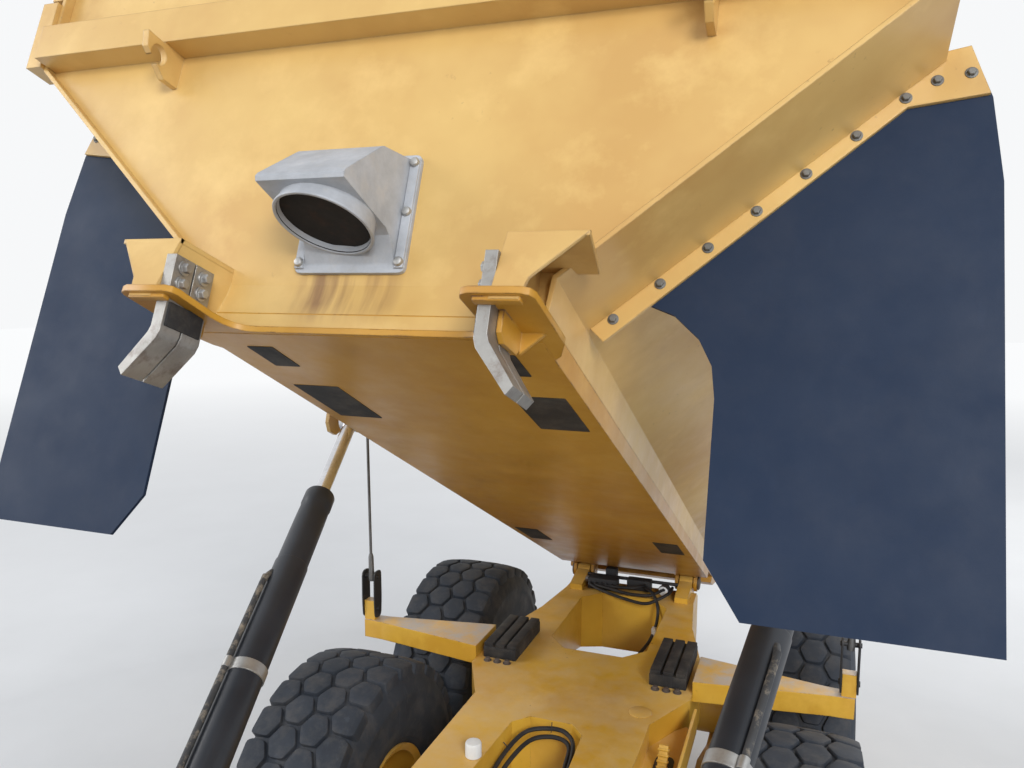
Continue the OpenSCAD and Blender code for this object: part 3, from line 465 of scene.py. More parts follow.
def paint(name, colour, dust, rust, dirt, wear):
    """Painted steel with blotches, dust on its upper faces and worn edges."""
    f = Finish(name)
    f.set(coat=0.25, coat_rough=0.22)
    base = shaded(colour)
    deep = tuple(c * k for c, k in zip(base, (0.8, 0.7, 0.62)))
    shade = f.blend(f.band(f.noise(1.1, 5.0, 0.6), 0.36, 0.66), deep, base)
    shade = f.blend(f.band(f.noise(3.7, 6.0, 0.62), 0.5, 0.8), shade, shaded(base, 1.07, 0.02))
    film = f.times(f.band(f.upward(), 0.25, 0.95), f.band(f.noise(5.0, 8.0, 0.7), 0.35, 0.75))
    shade = f.blend(f.times(film, dirt), shade, dust)
    specks = f.band(f.noise(38.0, 3.0, 0.6), 0.66, 0.72)
    patch = f.band(f.noise(2.1, 4.0, 0.7), 0.56, 0.68)
    chips = f.times(specks, patch)
    worn = f.times(f.edges(), f.band(f.noise(14.0, 5.0, 0.7), 0.5, 0.62))
    f.colour(f.blend(f.times(f.maths("MAXIMUM", chips, worn), wear), shade, rust))
    gloss = f.mapped(f.band(f.noise(6.0, 6.0, 0.65), 0.3, 0.75), 0.0, 1.0, 0.3, 0.54)
    f.rough(f.maths("ADD", gloss, f.times(film, 0.3)))
    f.surface(f.noise(240.0, 2.0, 0.5), 0.05, 0.001, round_edges=0.006)
    return f


def rubber(name, colour, dust, dusty, rough=0.62, mottle=1.0):
    """Rubber or cloth with pale mottling, scuffs and a film of dust."""
    f = Finish(name)
    f.set(specular=0.35)
    light = shaded(colour, 1.0 + 0.9 * mottle, 0.008 * mottle)
    shade = f.blend(f.band(f.noise(2.2, 6.0, 0.65), 0.35, 0.75), colour, light)
    scuff = f.band(f.noise(26.0, 3.0, 0.6, stretch=(1, 1, 0.12)), 0.6, 0.72)
    shade = f.blend(f.times(scuff, 0.35 * mottle), shade, shaded(colour, 2.6, 0.02))
    film = f.times(f.band(f.noise(9.0, 7.0, 0.7), 0.45, 0.8), dusty)
    f.colour(f.blend(film, shade, dust))
    f.uneven_rough(5.0, 5.0, rough - 0.1, rough + 0.2)
    f.surface(f.noise(150.0, 4.0, 0.6), 0.12, 0.0015)
    return f


def metal(name, colour, spots, rough, spotted, metallic, bump):
    """Metal with darker clouds and spots of rust or dirt."""
    f = Finish(name)
    f.set(metal=metallic)
    shade = f.blend(f.band(f.noise(7.0, 6.0, 0.7), 0.35, 0.7), shaded(colour, 0.72), colour)
    share = f.times(f.band(f.noise(16.0, 6.0, 0.72), 0.52, 0.68), spotted)
    f.colour(f.blend(share, shade, spots))
    f.uneven_rough(22.0, 4.0, rough - 0.08, rough + 0.22)
    f.surface(f.noise(90.0, 5.0, 0.6), bump, 0.0015, round_edges=0.003)
    return f


def plastic(name, colour, rough, coat=0.0):
    """Smooth plastic or plain paint with faint clouds."""
    f = Finish(name)
    f.set(coat=coat)
    f.colour(f.blend(f.band(f.noise(4.0, 5.0, 0.6), 0.35, 0.7), colour, shaded(colour, 1.35, 0.004)))
    f.uneven_rough(12.0, 4.0, rough - 0.06, rough + 0.12)
    f.surface(f.noise(420.0, 2.0, 0.5), 0.12, 0.0006, round_edges=0.004)
    return f


def tinted_glass():
    f = Finish("tinted_glass").set(rough=0.03, clear=0.92, ior=1.45)
    f.colour(f.blend(f.band(f.noise(2.0, 3.0), 0.3, 0.7), (0.4, 0.5, 0.5), (0.5, 0.6, 0.6)))
    return f


def lens(name, tint):
    """A lamp's glass with fine upright ribs."""
    f = Finish(name).set(rough=0.12, coat=0.6, coat_rough=0.05)
    ribs = f.noise(60.0, 1.0, 0.3, stretch=(1, 1, 0.02))
    f.colour(f.blend(f.band(ribs, 0.35, 0.65), tint, shaded(tint, 1.25, 0.02)))
    f.surface(ribs, 0.25, 0.002)
    return f


def pale_ground():
    """A pale floor that fades into the backdrop away from the truck."""
    f = Finish("pale_ground").set(rough=0.9, specular=0.1, glow=BACKDROP)
    slabs = f.blend(f.band(f.noise(0.35, 5.0, 0.6), 0.3, 0.7), (0.6, 0.6, 0.59), (0.68, 0.68, 0.67))
    away = f.node("ShaderNodeVectorMath", operation="LENGTH")
    f.link(f.where.outputs["Object"], away.inputs[0])
    far = f.maths("POWER", f.band(away.outputs["Value"], 6.0, 30.0), 0.6)
    f.colour(f.blend(far, slabs, (0.0, 0.0, 0.0)))
    f.link(far, f.shader.inputs["Emission Strength"])
    return f


def rust_streak(f, rust):
    """Brown runs under the exhaust inlet, kept in the front wall's own frame."""
    on_wall = f.node("ShaderNodeMapping", {
        "Location": WALL.to_translation(), "Rotation": WALL.to_euler(),
    }, vector_type="TEXTURE")
    f.link(f.where.outputs["Object"], on_wall.inputs["Vector"])
    split = f.node("ShaderNodeSeparateXYZ")
    f.link(on_wall.outputs[0], split.inputs[0])
    x, z = split.outputs["X"], split.outputs["Z"]
    across = f.times(f.band(x, -0.25, -0.17), f.band(x, 0.02, 0.1, flip=True))
    up = f.times(f.band(z, 0.03, 0.1), f.band(z, 0.19, 0.21, flip=True))
    runs = f.noise(16.0, 5.0, 0.5, stretch=(1.0, 0.1, 0.12), where=on_wall.outputs[0])
    mask = f.times(f.times(across, up), f.band(runs, 0.4, 0.62))
    before = f.shader.inputs["Base Color"].links[0].from_socket
    f.colour(f.blend(f.times(mask, 0.75), before, shaded(rust, 1.5)))


BACKDROP = (0.93, 0.94, 0.95)
FINISH = {}


def make_finishes(paints):
    """Fills FINISH from the panel's colours."""
    dust, rust = tuple(paints.dust), tuple(paints.rust)
    body, shade = tuple(paints.body), tuple(paints.shade)
    scuffs = (0.44, 0.4, 0.36)
    FINISH["paint"] = paint("yellow_paint", body, dust, rust, dirt=0.12, wear=0.35)
    FINISH["wall"] = paint("wall_paint", body, dust, rust, dirt=0.05, wear=0.25)
    rust_streak(FINISH["wall"], rust)
    FINISH["frame"] = paint("frame_paint", shade, dust, rust, dirt=0.45, wear=0.8)
    # The floor's finish holds painted shade in its darker, browner base colour; its dust film and worn edges
    # are real
    FINISH["floor"] = paint("floor_paint_painted_shade", tuple(paints.floor), dust, rust, dirt=0.2, wear=1.0)
    FINISH["arm"] = paint("scuffed_paint", shade, scuffs, rust, dirt=1.5, wear=1.0)
    FINISH["flap"] = rubber("flap_rubber", tuple(paints.flap), dust, dusty=0.01, rough=0.6, mottle=0.1)
    FINISH["tyre"] = rubber("tyre_rubber", tuple(paints.tread), dust, dusty=0.08, rough=0.68, mottle=0.7)
    FINISH["pad"] = rubber("pad_rubber", (0.012, 0.012, 0.013), dust, dusty=0.1)
    FINISH["hose"] = rubber("hose_rubber", (0.01, 0.01, 0.011), dust, dusty=0.05, rough=0.45)
    FINISH["seat"] = rubber("seat_fabric", (0.025, 0.026, 0.03), dust, dusty=0.04, rough=0.8)
    FINISH["barrel"] = plastic("barrel_paint", (0.008, 0.011, 0.017), rough=0.46, coat=0.12)
    FINISH["black"] = plastic("black_paint", (0.016, 0.016, 0.018), rough=0.45, coat=0.1)
    FINISH["plastic"] = plastic("black_plastic", (0.022, 0.022, 0.024), rough=0.6)
    FINISH["white"] = plastic("white_plastic", (0.62, 0.63, 0.62), rough=0.4)
    # Colour, colour of the spots, roughness, how spotted, how metallic and how uneven
    for look, name, *values in (
        ("steel", "bare_steel", (0.42, 0.41, 0.39), rust, 0.42, 0.45, 0.9, 0.15),
        ("rusty", "rusty_nuts", (0.16, 0.13, 0.11), rust, 0.6, 0.8, 0.5, 0.3),
        ("dull_bolt", "dull_bolts", (0.2, 0.2, 0.19), rust, 0.5, 0.3, 0.7, 0.15),
        ("zinc", "zinc_bolts", (0.5, 0.5, 0.49), rust, 0.4, 0.2, 0.9, 0.15),
        ("casting", "weathered_casting", (0.48, 0.5, 0.53), dust, 0.6, 0.14, 0.25, 0.3),
        ("chrome", "chromed_rod", (0.78, 0.78, 0.8), rust, 0.14, 0.0, 1.0, 0.02),
        ("wire", "wire_rope", (0.16, 0.16, 0.16), rust, 0.5, 0.2, 0.7, 0.15),
        # The elbow's inside: near-black for soot, and painted shade for the hollow behind its mouth
        ("sooty", "sooty_inside", (0.009, 0.007, 0.006), shaded(rust, 0.3), 0.9, 0.6, 0.0, 0.15),
        ("pipe", "dull_pipe", (0.06, 0.062, 0.066), dust, 0.6, 0.45, 0.3, 0.15),
        ("mirror", "mirror_face", (0.8, 0.82, 0.84), rust, 0.1, 0.0, 1.0, 0.0),
    ):
        FINISH[look] = metal(name, *values)
    FINISH["glass"] = tinted_glass()
    FINISH["red_lens"] = lens("red_lens", (0.55, 0.02, 0.015))
    FINISH["amber_lens"] = lens("amber_lens", (0.75, 0.24, 0.02))
    FINISH["clear_lens"] = lens("clear_lens", (0.75, 0.78, 0.8))
    FINISH["ground"] = pale_ground()


# The finish of each solid; names that end with a side or a wheel go by what is before it
NODE_FINISH = {
    "rear_frame": "frame", "cable_arms": "arm", "rest_pads": "pad", "bogie_beams": "frame",
    "bogie_axles": "frame", "drive_shafts": "steel", "exhaust_stack": "casting", "rear_lamps": "black",
    "hitch": "frame", "front_frame": "frame", "engine": "casting", "front_axle": "frame",
    "fenders": "plastic", "access_steps": "black", "bumper": "frame", "cab_shell": "paint",
    "cab_glass": "glass", "cab_interior": "seat", "mirrors": "plastic", "hood": "paint",
    # The bed floor takes the floor finish, whose darker, browner base is painted shade
    "grille": "black", "door": "paint", "door_glass": "glass", "bed_floor": "floor",
    "bed_sides": "paint", "bed_front_wall": "wall", "exhaust_inlet": "casting", "bed_guides": "steel",
    "flap_strips": "paint", "flaps": "flap", "cable_sheaves": "steel", "tailgate": "paint",
    "hoist_barrel": "barrel", "steer_barrel": "barrel", "hoist_rod": "chrome", "steer_rod": "chrome",
    "tyre": "tyre", "rim": "frame",
}


# Stage

LAMP_AIM = Vector((0.0, 0.0, 2.0))
GROUND_REACH = 60.0

# The photograph's camera: focal length in pixels, picture width, sensor width in millimetres,
# its place, and its yaw, pitch and roll in degrees
FOCAL, PICTURE, SENSOR = 820.566, 1024, 36.0
CAMERA_PLACE = spot(1.147, -5.693, 3.653)
CAMERA_TURN = (20.286, 6.869, 0.205)


def soft_sky():
    """Soft light from all round, which the camera and reflections see as a pale backdrop."""
    world = bpy.data.worlds.new("soft_sky")
    world.use_nodes = True
    tree = world.node_tree
    sky = tree.nodes["Background"]
    sky.inputs["Color"].default_value = (0.8, 0.87, 1.0, 1.0)
    sky.inputs["Strength"].default_value = 0.55
    seen = tree.nodes.new("ShaderNodeBackground")
    seen.inputs["Color"].default_value = (*BACKDROP, 1.0)
    seen.inputs["Strength"].default_value = 1.0
    path = tree.nodes.new("ShaderNodeLightPath")
    mix = tree.nodes.new("ShaderNodeMixShader")
    shown = path.outputs["Is Camera Ray"]
    for ray in ("Is Glossy Ray", "Is Transmission Ray"):
        either = tree.nodes.new("ShaderNodeMath")
        either.operation = "MAXIMUM"
        tree.links.new(shown, either.inputs[0])
        tree.links.new(path.outputs[ray], either.inputs[1])
        shown = either.outputs[0]
    tree.links.new(shown, mix.inputs[0])
    tree.links.new(sky.outputs[0], mix.inputs[1])
    tree.links.new(seen.outputs[0], mix.inputs[2])
    tree.links.new(mix.outputs[0], tree.nodes["World Output"].inputs[0])
    return world


def camera_matrix():
    """Where the photograph's camera stands and how it is turned."""
    yaw, pitch, roll = (math.radians(a) for a in CAMERA_TURN)
    level = math.cos(pitch)
    ahead = Vector((-math.sin(yaw) * level, math.cos(yaw) * level, -math.sin(pitch)))
    right = ahead.cross(Vector((0, 0, 1))).normalized()
    up = right.cross(ahead)
    right, up = (
        right * math.cos(roll) + up * math.sin(roll), up * math.cos(roll) - right * math.sin(roll)
    )
    turn = Matrix((right, up, -ahead)).transposed().to_4x4()
    return Matrix.Translation(CAMERA_PLACE) @ turn


# Operators

class Maker(bpy.types.Operator):
    """Shared ground of the operators"""
    bl_options = {"REGISTER", "UNDO"}


class DT_OT_stage(Maker):
    """Makes the floor, the soft lights and the camera"""
    bl_idname = "dumptruck.stage"
    bl_label = "Stage"

    def execute(self, context):
        scene = context.scene
        scene.view_settings.view_transform = "Standard"
        ground = bpy.data.meshes.new("ground")
        ways = ((-1, -1), (1, -1), (1, 1), (-1, 1))
        ground.from_pydata([(x * GROUND_REACH, y * GROUND_REACH, 0) for x, y in ways], [], [(0, 1, 2, 3)])
        ground.materials.append(FINISH["ground"].material)
        floor = placed("ground", ground)
        scene.world = soft_sky()
        for name, place, size, power in (
            ("key", (9.0, -13.0, 11.0), 6.0, 2600.0),
            ("fill", (-12.0, -4.0, 7.0), 8.0, 900.0),
            ("back", (5.0, 13.0, 9.0), 7.0, 900.0),
        ):
            lamp = bpy.data.lights.new(name, "AREA")
            lamp.size = size
            lamp.energy = power
            placed(name, lamp, facing(Vector(place), Vector(place) - LAMP_AIM))
        eye = bpy.data.cameras.new("camera")
        eye.sensor_width = SENSOR
        eye.sensor_fit = "HORIZONTAL"
        eye.lens = FOCAL / PICTURE * SENSOR
        eye.clip_start = 0.02
        view = placed("camera", eye, camera_matrix())
        scene.camera = view
        return {"FINISHED"}


class DT_OT_finishes(Maker):
    """Gives every solid of the frame its finish"""
    bl_idname = "dumptruck.finishes"
    bl_label = "Finishes"

    def execute(self, context):
        for name, node in NODES.items():
            look = NODE_FINISH.get(name) or NODE_FINISH[name.rsplit("_", 1)[0]]
            node.data.materials.clear()
            node.data.materials.append(FINISH[look].material)
        return {"FINISHED"}


class DT_OT_tyres(Maker):
    """Makes the six tyres with their worn six-sided tread blocks"""
    bl_idname = "dumptruck.tyres"
    bl_label = "Tyres"

    def execute(self, context):
        shape = tyre_form(context.scene.dt_tyre)
        for wheel, turn in WHEEL_TURN.items():
            place = Matrix.Translation(wheel_middle(wheel)) @ Matrix.Rotation(math.radians(turn), 4, "X")
            form = Form().add(shape.corners, shape.faces, place)
            tyre = form.made(f"tread_tyre_{wheel}", f"wheel_{wheel}", "tyre", "tyre", sharp=28.0)
            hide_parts(f"tyre_{wheel}")
        return {"FINISHED"}


def tyre_form(sizes):
    """One tyre about the X axis: its carcass and its tread blocks."""
    big, half, seat = sizes.radius, sizes.width / 2, sizes.rim_radius
    base = big - sizes.groove
    # Half of the carcass from its middle to the tread's middle, as radius and distance across
    profile = [
        (seat, 0.0), (seat, 0.25), (seat + 0.026, 0.25), (seat + 0.045, 0.262), (seat + 0.06, 0.27),
        (seat + 0.066, 0.278), (seat + 0.11, half - 0.016), (seat + 0.15, half - 0.004),
        (seat + 0.19, half), (big - 0.23, half), (big - 0.19, half - 0.004),
        (big - 0.18, half - 0.001), (big - 0.16, half - 0.001), (big - 0.15, half - 0.006),
        (big - 0.1, half - 0.02), (base - 0.045, half - 0.042), (base - 0.018, half - 0.07),
        (base - 0.006, half - 0.105), (base, half - 0.16), (base + 0.002, 0.05),
    ]
    profile += [(r, -x) for r, x in reversed(profile)]
    rings = [[(x, r * c, r * s) for r, x in profile] for c, s in circle(96)]
    form = Form().ring_skin([*rings, rings[0]])

    def tread(u, x, lift):
        """A point on the tread: u round the tyre, x across it, lift above the grooves."""
        crown = 0.03 * (abs(x) / half) ** 3.2
        r = base - crown + lift
        return (x, r * math.cos(u / big), r * math.sin(u / big))

    # Six-sided blocks in four staggered columns; the outer ones run out over the shoulders
    pitch = 2 * math.pi * big / sizes.rows
    point = 0.091
    long, flank = point - sizes.gap * 0.58, pitch / 2 - sizes.gap / 2
    whole = [
        (0, long), (flank, long / 2), (flank, -long / 2), (0, -long), (-flank, -long / 2), (-flank, long / 2),
    ]
    wobble, wear = 0.002, 0.003
    rnd = random.Random(7)
    for column in range(4):
        x0 = (column - 1.5) * point * 1.5
        out = 1 if x0 > 0 else -1
        outline = whole
        if column in (0, 3):
            edge = (half - 0.034 - abs(x0)) * out
            outline = sorted(((u, x) for u, x in whole if x * out < 0), key=lambda corner: corner[0])
            outline += [(flank * k, edge if abs(k) < 1 else long / 2 * out) for k in (1, 0.86, -0.86, -1)]
        for row in range(sizes.rows):
            u0 = (row + 0.5 * (column % 2)) * pitch
            corners = rounded([
                (u + rnd.uniform(-wobble, wobble), x + rnd.uniform(-wobble, wobble)) for u, x in outline
            ], 0.014, 2)
            lift = sizes.groove - 0.001 - rnd.uniform(0.0, wear)
            foot = [-0.042 if (x0 + x) * out > 0.24 else -0.012 for _, x in corners]
            rings = [[tread(u0 + u * 1.05, x0 + x * 1.05, low) for (u, x), low in zip(corners, foot)]]
            for scale, height in ((1.0, lift * 0.8), (0.975, lift * 0.95), (0.93, lift), (0.5, lift)):
                rings.append([tread(u0 + u * scale, x0 + x * scale, height) for u, x in corners])
            form.ring_skin(rings, cap_end=True)
    return form


class DT_OT_strip_bolts(Maker):
    """Makes the bolts that hold the rubber flaps to their strips"""
    bl_idname = "dumptruck.strip_bolts"
    bl_label = "Strip bolts"

    def execute(self, context):
        size = context.scene.dt_fittings.bolt
        line = [(0.612 + 0.123 * k, 0.172 + 0.106 * k) for k in range(6)]
        line += [(1.345, 0.806), (1.42, 0.852), (1.5, 0.868)]
        form = Form(WALL)
        for _, side in SIDES:
            for x, z in line:
                form.bolt(facing((side * x, 0.288, z), FORWARD), size, size * 1.1)
        form.made("strip_bolts", "bed", "bare_steel", "dull_bolt")
        return {"FINISHED"}


def wire_ends(side):
    """Where a tailgate wire leaves its arm's tip and where it meets the body's sheave."""
    return spot(side * 1.388, -1.354, 1.845), BED @ Vector((side * 1.49, -1.762, 0.78))


class DT_OT_wires(Maker):
    """Makes the wires that pull the tailgate open"""
    bl_idname = "dumptruck.wires"
    bl_label = "Tailgate wires"

    def execute(self, context):
        size = context.scene.dt_fittings.wire
        for name, side in SIDES:
            tip, sheave = wire_ends(side)
            form = Form().tube([tip.lerp(sheave, k / 16) for k in range(17)], size)
            wire = form.made(f"arm_wire_{name}", None, "bare_steel", "wire")
            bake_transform(wire)
        return {"FINISHED"}


class DT_OT_arm_tips(Maker):
    """Makes the shackles that hold the wires at the arms' tips"""
    bl_idname = "dumptruck.arm_tips"
    bl_label = "Arm tips"

    def execute(self, context):
        shackle, swage = Form(), Form()
        outline = rounded([
            (-0.036, 1.585), (0.036, 1.585), (0.044, 1.7), (0.042, 1.885), (-0.042, 1.885), (-0.044, 1.7),
        ], 0.035, 6)
        for _, side in SIDES:
            tip, sheave = wire_ends(side)
            place = Matrix.Translation((tip.x, tip.y, 0))
            for x in (-0.045, 0.037):
                shackle.side_plate(outline, x, 0.008, place)
            for z, radius in ((1.845, 0.013), (1.64, 0.016)):
                shackle.tube([(-0.052, 0, z), (0.052, 0, z)], radius, 14, place)
            swage.turned([
                (0.018, -0.03), (0.022, 0.0), (0.017, 0.035), (0.016, 0.12), (0.011, 0.14),
            ], 16, facing(tip, sheave - tip))
        shackle.made("wire_shackles", "rear_frame", "black_metal", "black")
        swage.made("wire_swages", "rear_frame", "bare_steel", "wire")
        return {"FINISHED"}


class DT_OT_front_ears(Maker):
    """Makes the floor's front lip with its ears, their pockets and the guide straps"""
    bl_idname = "dumptruck.front_ears"
    bl_label = "Front ears"

    def execute(self, context):
        front = -FLOOR_FRONT
        on_wall = BED.inverted() @ WALL
        # Half of the lip, from its middle round one ear
        half = [
            (0.3, -0.046), (0.345, -0.05), (0.372, -0.066), (0.39, -0.095), (0.398, -0.139),
            (0.395, -0.272), (0.402, -0.291), (0.422, -0.3), (0.546, -0.3), (0.566, -0.291),
            (0.575, -0.272), (0.575, -0.02), (0.545, 0.06), (0.52, 0.09), (0.3, 0.09),
        ]
        outline = [(-x, front + y) for x, y in reversed(half)] + [(x, front + y) for x, y in half]
        lip = Form(BED).slab(outline, 0.001, 0.019)
        skin = [
            (0.002, 0.17), (-0.008, 0.125), (-0.024, 0.085), (-0.036, 0.058), (-0.0395, 0.02),
            (-0.02, 0.01), (0.01, 0.17),
        ]
        pocket = Form(WALL).side_plate(skin, -0.515, 1.03)
        face = [
            (0.47, -0.287, 0.024), (0.541, -0.287, 0.024), (0.553, -0.274, 0.08), (0.668, -0.226, 0.21),
            (0.47, -0.226, 0.21),
        ]
        roof = [(0.47, -0.226), (0.668, -0.226), (0.635, 0.01), (0.47, 0.01)]
        inner = [(-0.27, 0.03), (0.002, 0.022), (0.002, 0.204), (-0.222, 0.204)]
        gusset = [
            (-0.215, 0.038), (-0.07, 0.03), (-0.07, -0.02), (-0.1, -0.05), (-0.19, -0.05),
            (-0.215, -0.03),
        ]
        brace = [(0.484, 0.03), (0.568, 0.03), (0.484, -0.045)]
        bent = [
            (0.438, 0.15), (0.4695, 0.15), (0.4695, -0.048), (0.476, -0.066), (0.546, -0.163),
            (0.53, -0.184), (0.446, -0.082), (0.438, -0.06),
        ]
        strap, nuts, worn = Form(WALL), Form(WALL), Form(WALL)
        for _, side in SIDES:
            lip.side_block(side, (0.43, front - 0.286, -0.01), (0.545, front - 0.262, 0.003))
            lip.side_plate(gusset, side * 0.4705, side * 0.0135, on_wall)
            lip.plate(on_side(side, brace), 0.012, on_wall @ Matrix.Translation((0, -0.086, 0)))
            corners = on_side(side, face)
            pocket.prism(corners, [(x, y + 0.012, z) for x, y, z in corners])
            pocket.slab(on_side(side, roof), 0.197, 0.21)
            pocket.side_plate(inner, side * 0.4708, side * 0.0132)
            for y in (-0.262, -0.184):
                strap.plate(on_side(side, bent), 0.072, Matrix.Translation((0, y, 0)))
            worn.side_block(side, (0.432, -0.252, -0.045), (0.4385, -0.122, 0.02), 0.002)
            for y in (-0.226, -0.148):
                for z in (0.122, 0.078):
                    nuts.bolt(facing((side * 0.438, y, z), (-side, 0, 0)), 0.014, 0.018)
        # The lip takes the floor finish, with its painted shade
        lip.made("floor_lip", "bed", "ochre_paint", "floor")
        pocket.made("ear_pockets", "bed", "paint", "wall")
        guide = strap.made("guide_straps", "bed", "bare_steel", "steel")
        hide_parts("bed_guides")
        nuts.made("guide_nuts", "bed", "bare_steel", "zinc")
        worn.made("guide_pads", "bed", "rubber", "pad")
        return {"FINISHED"}


class DT_OT_exhaust_elbow(Maker):
    """Makes the cast exhaust elbow on the front wall"""
    bl_idname = "dumptruck.exhaust_elbow"
    bl_label = "Exhaust elbow"

    def execute(self, context):
        middle, reach = -0.076, 0.174
        cast, bolts = Form(WALL), Form(WALL)
        corners = box_outline(middle - reach, middle + reach, 0.193, 0.543)
        cast.plate(rounded(corners, 0.02), 0.014, Matrix.Translation((0, -0.014, 0)))
        # The hood's outline: depth, height and half its width
        hood = [
            (-0.01, 0.53, 0.144), (-0.15, 0.496, 0.133), (-0.166, 0.482, 0.13), (-0.296, 0.354, 0.13),
            (-0.303, 0.342, 0.13), (-0.298, 0.33, 0.13), (-0.075, 0.298, 0.134), (-0.055, 0.285, 0.136),
            (-0.01, 0.212, 0.142),
        ]
        cast.prism([(middle - w, y, z) for y, z, w in hood], [(middle + w, y, z) for y, z, w in hood])
        head = [(0.014, -0.001), (0.014, 0.004), (0.011, 0.009), (0.005, 0.011)]
        for x in (middle - 0.158, middle + 0.158):
            cast.block((x - 0.014, -0.022, 0.205), (x + 0.014, -0.01, 0.53), 0.006)
            for z in (0.222, 0.368, 0.516):
                bolts.turned(head, 20, facing((x, -0.022, z), FORWARD))
        mouth = facing(Vector((middle, -0.162, 0.27)), (-0.06, -0.2, -0.977))
        cast.turned([
            (0.124, -0.085), (0.127, -0.05), (0.131, -0.025), (0.136, -0.006), (0.138, 0.0), (0.136, 0.004),
            (0.13, 0.004), (0.127, -0.002), (0.123, -0.03), (0.118, -0.082),
        ], 48, mouth)
        # A near-black dish a little way into the mouth: soot, and painted shade standing for the elbow's deep
        # hollow
        inside = Form(WALL).turned([
            (0.1275, 0.001), (0.1262, -0.008), (0.125, -0.016), (0.09, -0.0175), (0.04, -0.018),
        ], 48, mouth, cap_start=False)
        elbow = cast.made("exhaust_elbow", "bed", "casting", "casting", sharp=25.0)
        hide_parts("exhaust_inlet")
        bolts.made("elbow_bolts", "bed", "bare_steel", "zinc")
        inside.made("elbow_inside", "bed", "casting", "sooty")
        return {"FINISHED"}


class DT_OT_floor_pads(Maker):
    """Makes the dark rubbing patches under the floor"""
    bl_idname = "dumptruck.floor_pads"
    bl_label = "Floor pads"

    def execute(self, context):
        form = Form(BED)
        for _, side in SIDES:
            for x0, x1, y0, y1 in (
                (0.33, 0.42, -4.165, -4.01), (0.3, 0.47, -3.835, -3.51), (0.34, 0.48, -1.4, -1.05),
            ):
                outline = on_side(side, box_outline(x0, x1, y0, y1))
                form.slab(rounded(outline, 0.006), -0.0015, 0.001)
        form.made("floor_pads", "bed", "rubber", "pad")
        return {"FINISHED"}


def hoist_line(side):
    """The lower pin of a hoist cylinder and the way to its upper pin."""
    foot = spot(side * 0.616, -4.6, 1.171)
    along, up = 2.221, 0.377
    head = HINGE + Vector((
        side * 1.228, -along * math.cos(TIP) + up * math.sin(TIP), along * math.sin(TIP) + up * math.cos(TIP)
    ))
    return foot, (head - foot).normalized()


class DT_OT_hoist_details(Maker):
    """Makes the hoist cylinders' barrels, their sliding sleeves, pipes and bands"""
    bl_idname = "dumptruck.hoist_details"
    bl_label = "Hoist cylinders"

    def execute(self, context):
        size = context.scene.dt_fittings.pipe
        for name, side in SIDES:
            foot, way = hoist_line(side)
            place = facing(foot, way)
            pin = facing(foot, (side, -0.27, 0.38))
            barrel = Form().turned([
                (0.03, 0.04), (0.03, 0.099), (0.062, 0.1), (0.075, 0.114), (0.076, 0.12), (0.076, 2.326),
                (0.0755, 2.33), (0.0745, 2.33), (0.0742, 2.32), (0.0742, 1.45), (0.038, 1.44),
                (0.038, 0.14),
            ], 48, place)
            barrel.turned([(0.07, -0.045), (0.078, -0.04), (0.078, 0.04), (0.07, 0.045)], 40, pin)
            barrel.turned([(0.03, -0.076), (0.036, -0.072), (0.036, 0.072), (0.03, 0.076)], 32, pin)
            made = barrel.made(f"painted_barrel_{name}", f"hoist_barrel_{name}", "black_metal", "barrel")
            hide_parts(f"hoist_barrel_{name}")
            sleeve = Form().turned([
                (0.06, 1.6), (0.072, 1.604), (0.072, 2.0), (0.072, 2.3), (0.072, 2.6), (0.07, 2.684),
                (0.0738, 2.69), (0.0738, 2.762), (0.069, 2.772), (0.037, 2.772),
            ], 48, place)
            tube = sleeve.made(f"hoist_sleeve_{name}", None, "black_metal", "barrel")
            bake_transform(tube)
            # The pipe runs along the barrel's outer side; its points are the distance along the
            # cylinder and away from its middle line
            out = Vector((side * 0.42, -0.86, 0.34))
            out = (out - way * out.dot(way)).normalized()
            bends = (
                (0.3, 0.066), (0.34, 0.09), (0.42, 0.094), (1.2, 0.094), (2.12, 0.094), (2.2, 0.09),
                (2.25, 0.07),
            )
            path = smooth_path([foot + way * s + out * r for s, r in bends], 8)
            Form().tube(path, size, 12).made(f"hoist_pipe_{name}", f"hoist_barrel_{name}", "bare_steel", "pipe")
            bands = Form()
            for s in (0.62, 1.78):
                ring = place @ Matrix.Translation((0, 0, s))
                bands.hoop([(0.0762, -0.026), (0.0805, -0.024), (0.0805, 0.024), (0.0762, 0.026)], 40, ring)
                middle = foot + way * s + out * 0.092
                bands.tube([middle - way * 0.022, middle + way * 0.022], size * 1.3, 12)
            bands.made(f"pipe_bands_{name}", f"hoist_barrel_{name}", "bare_steel", "zinc")
        return {"FINISHED"}


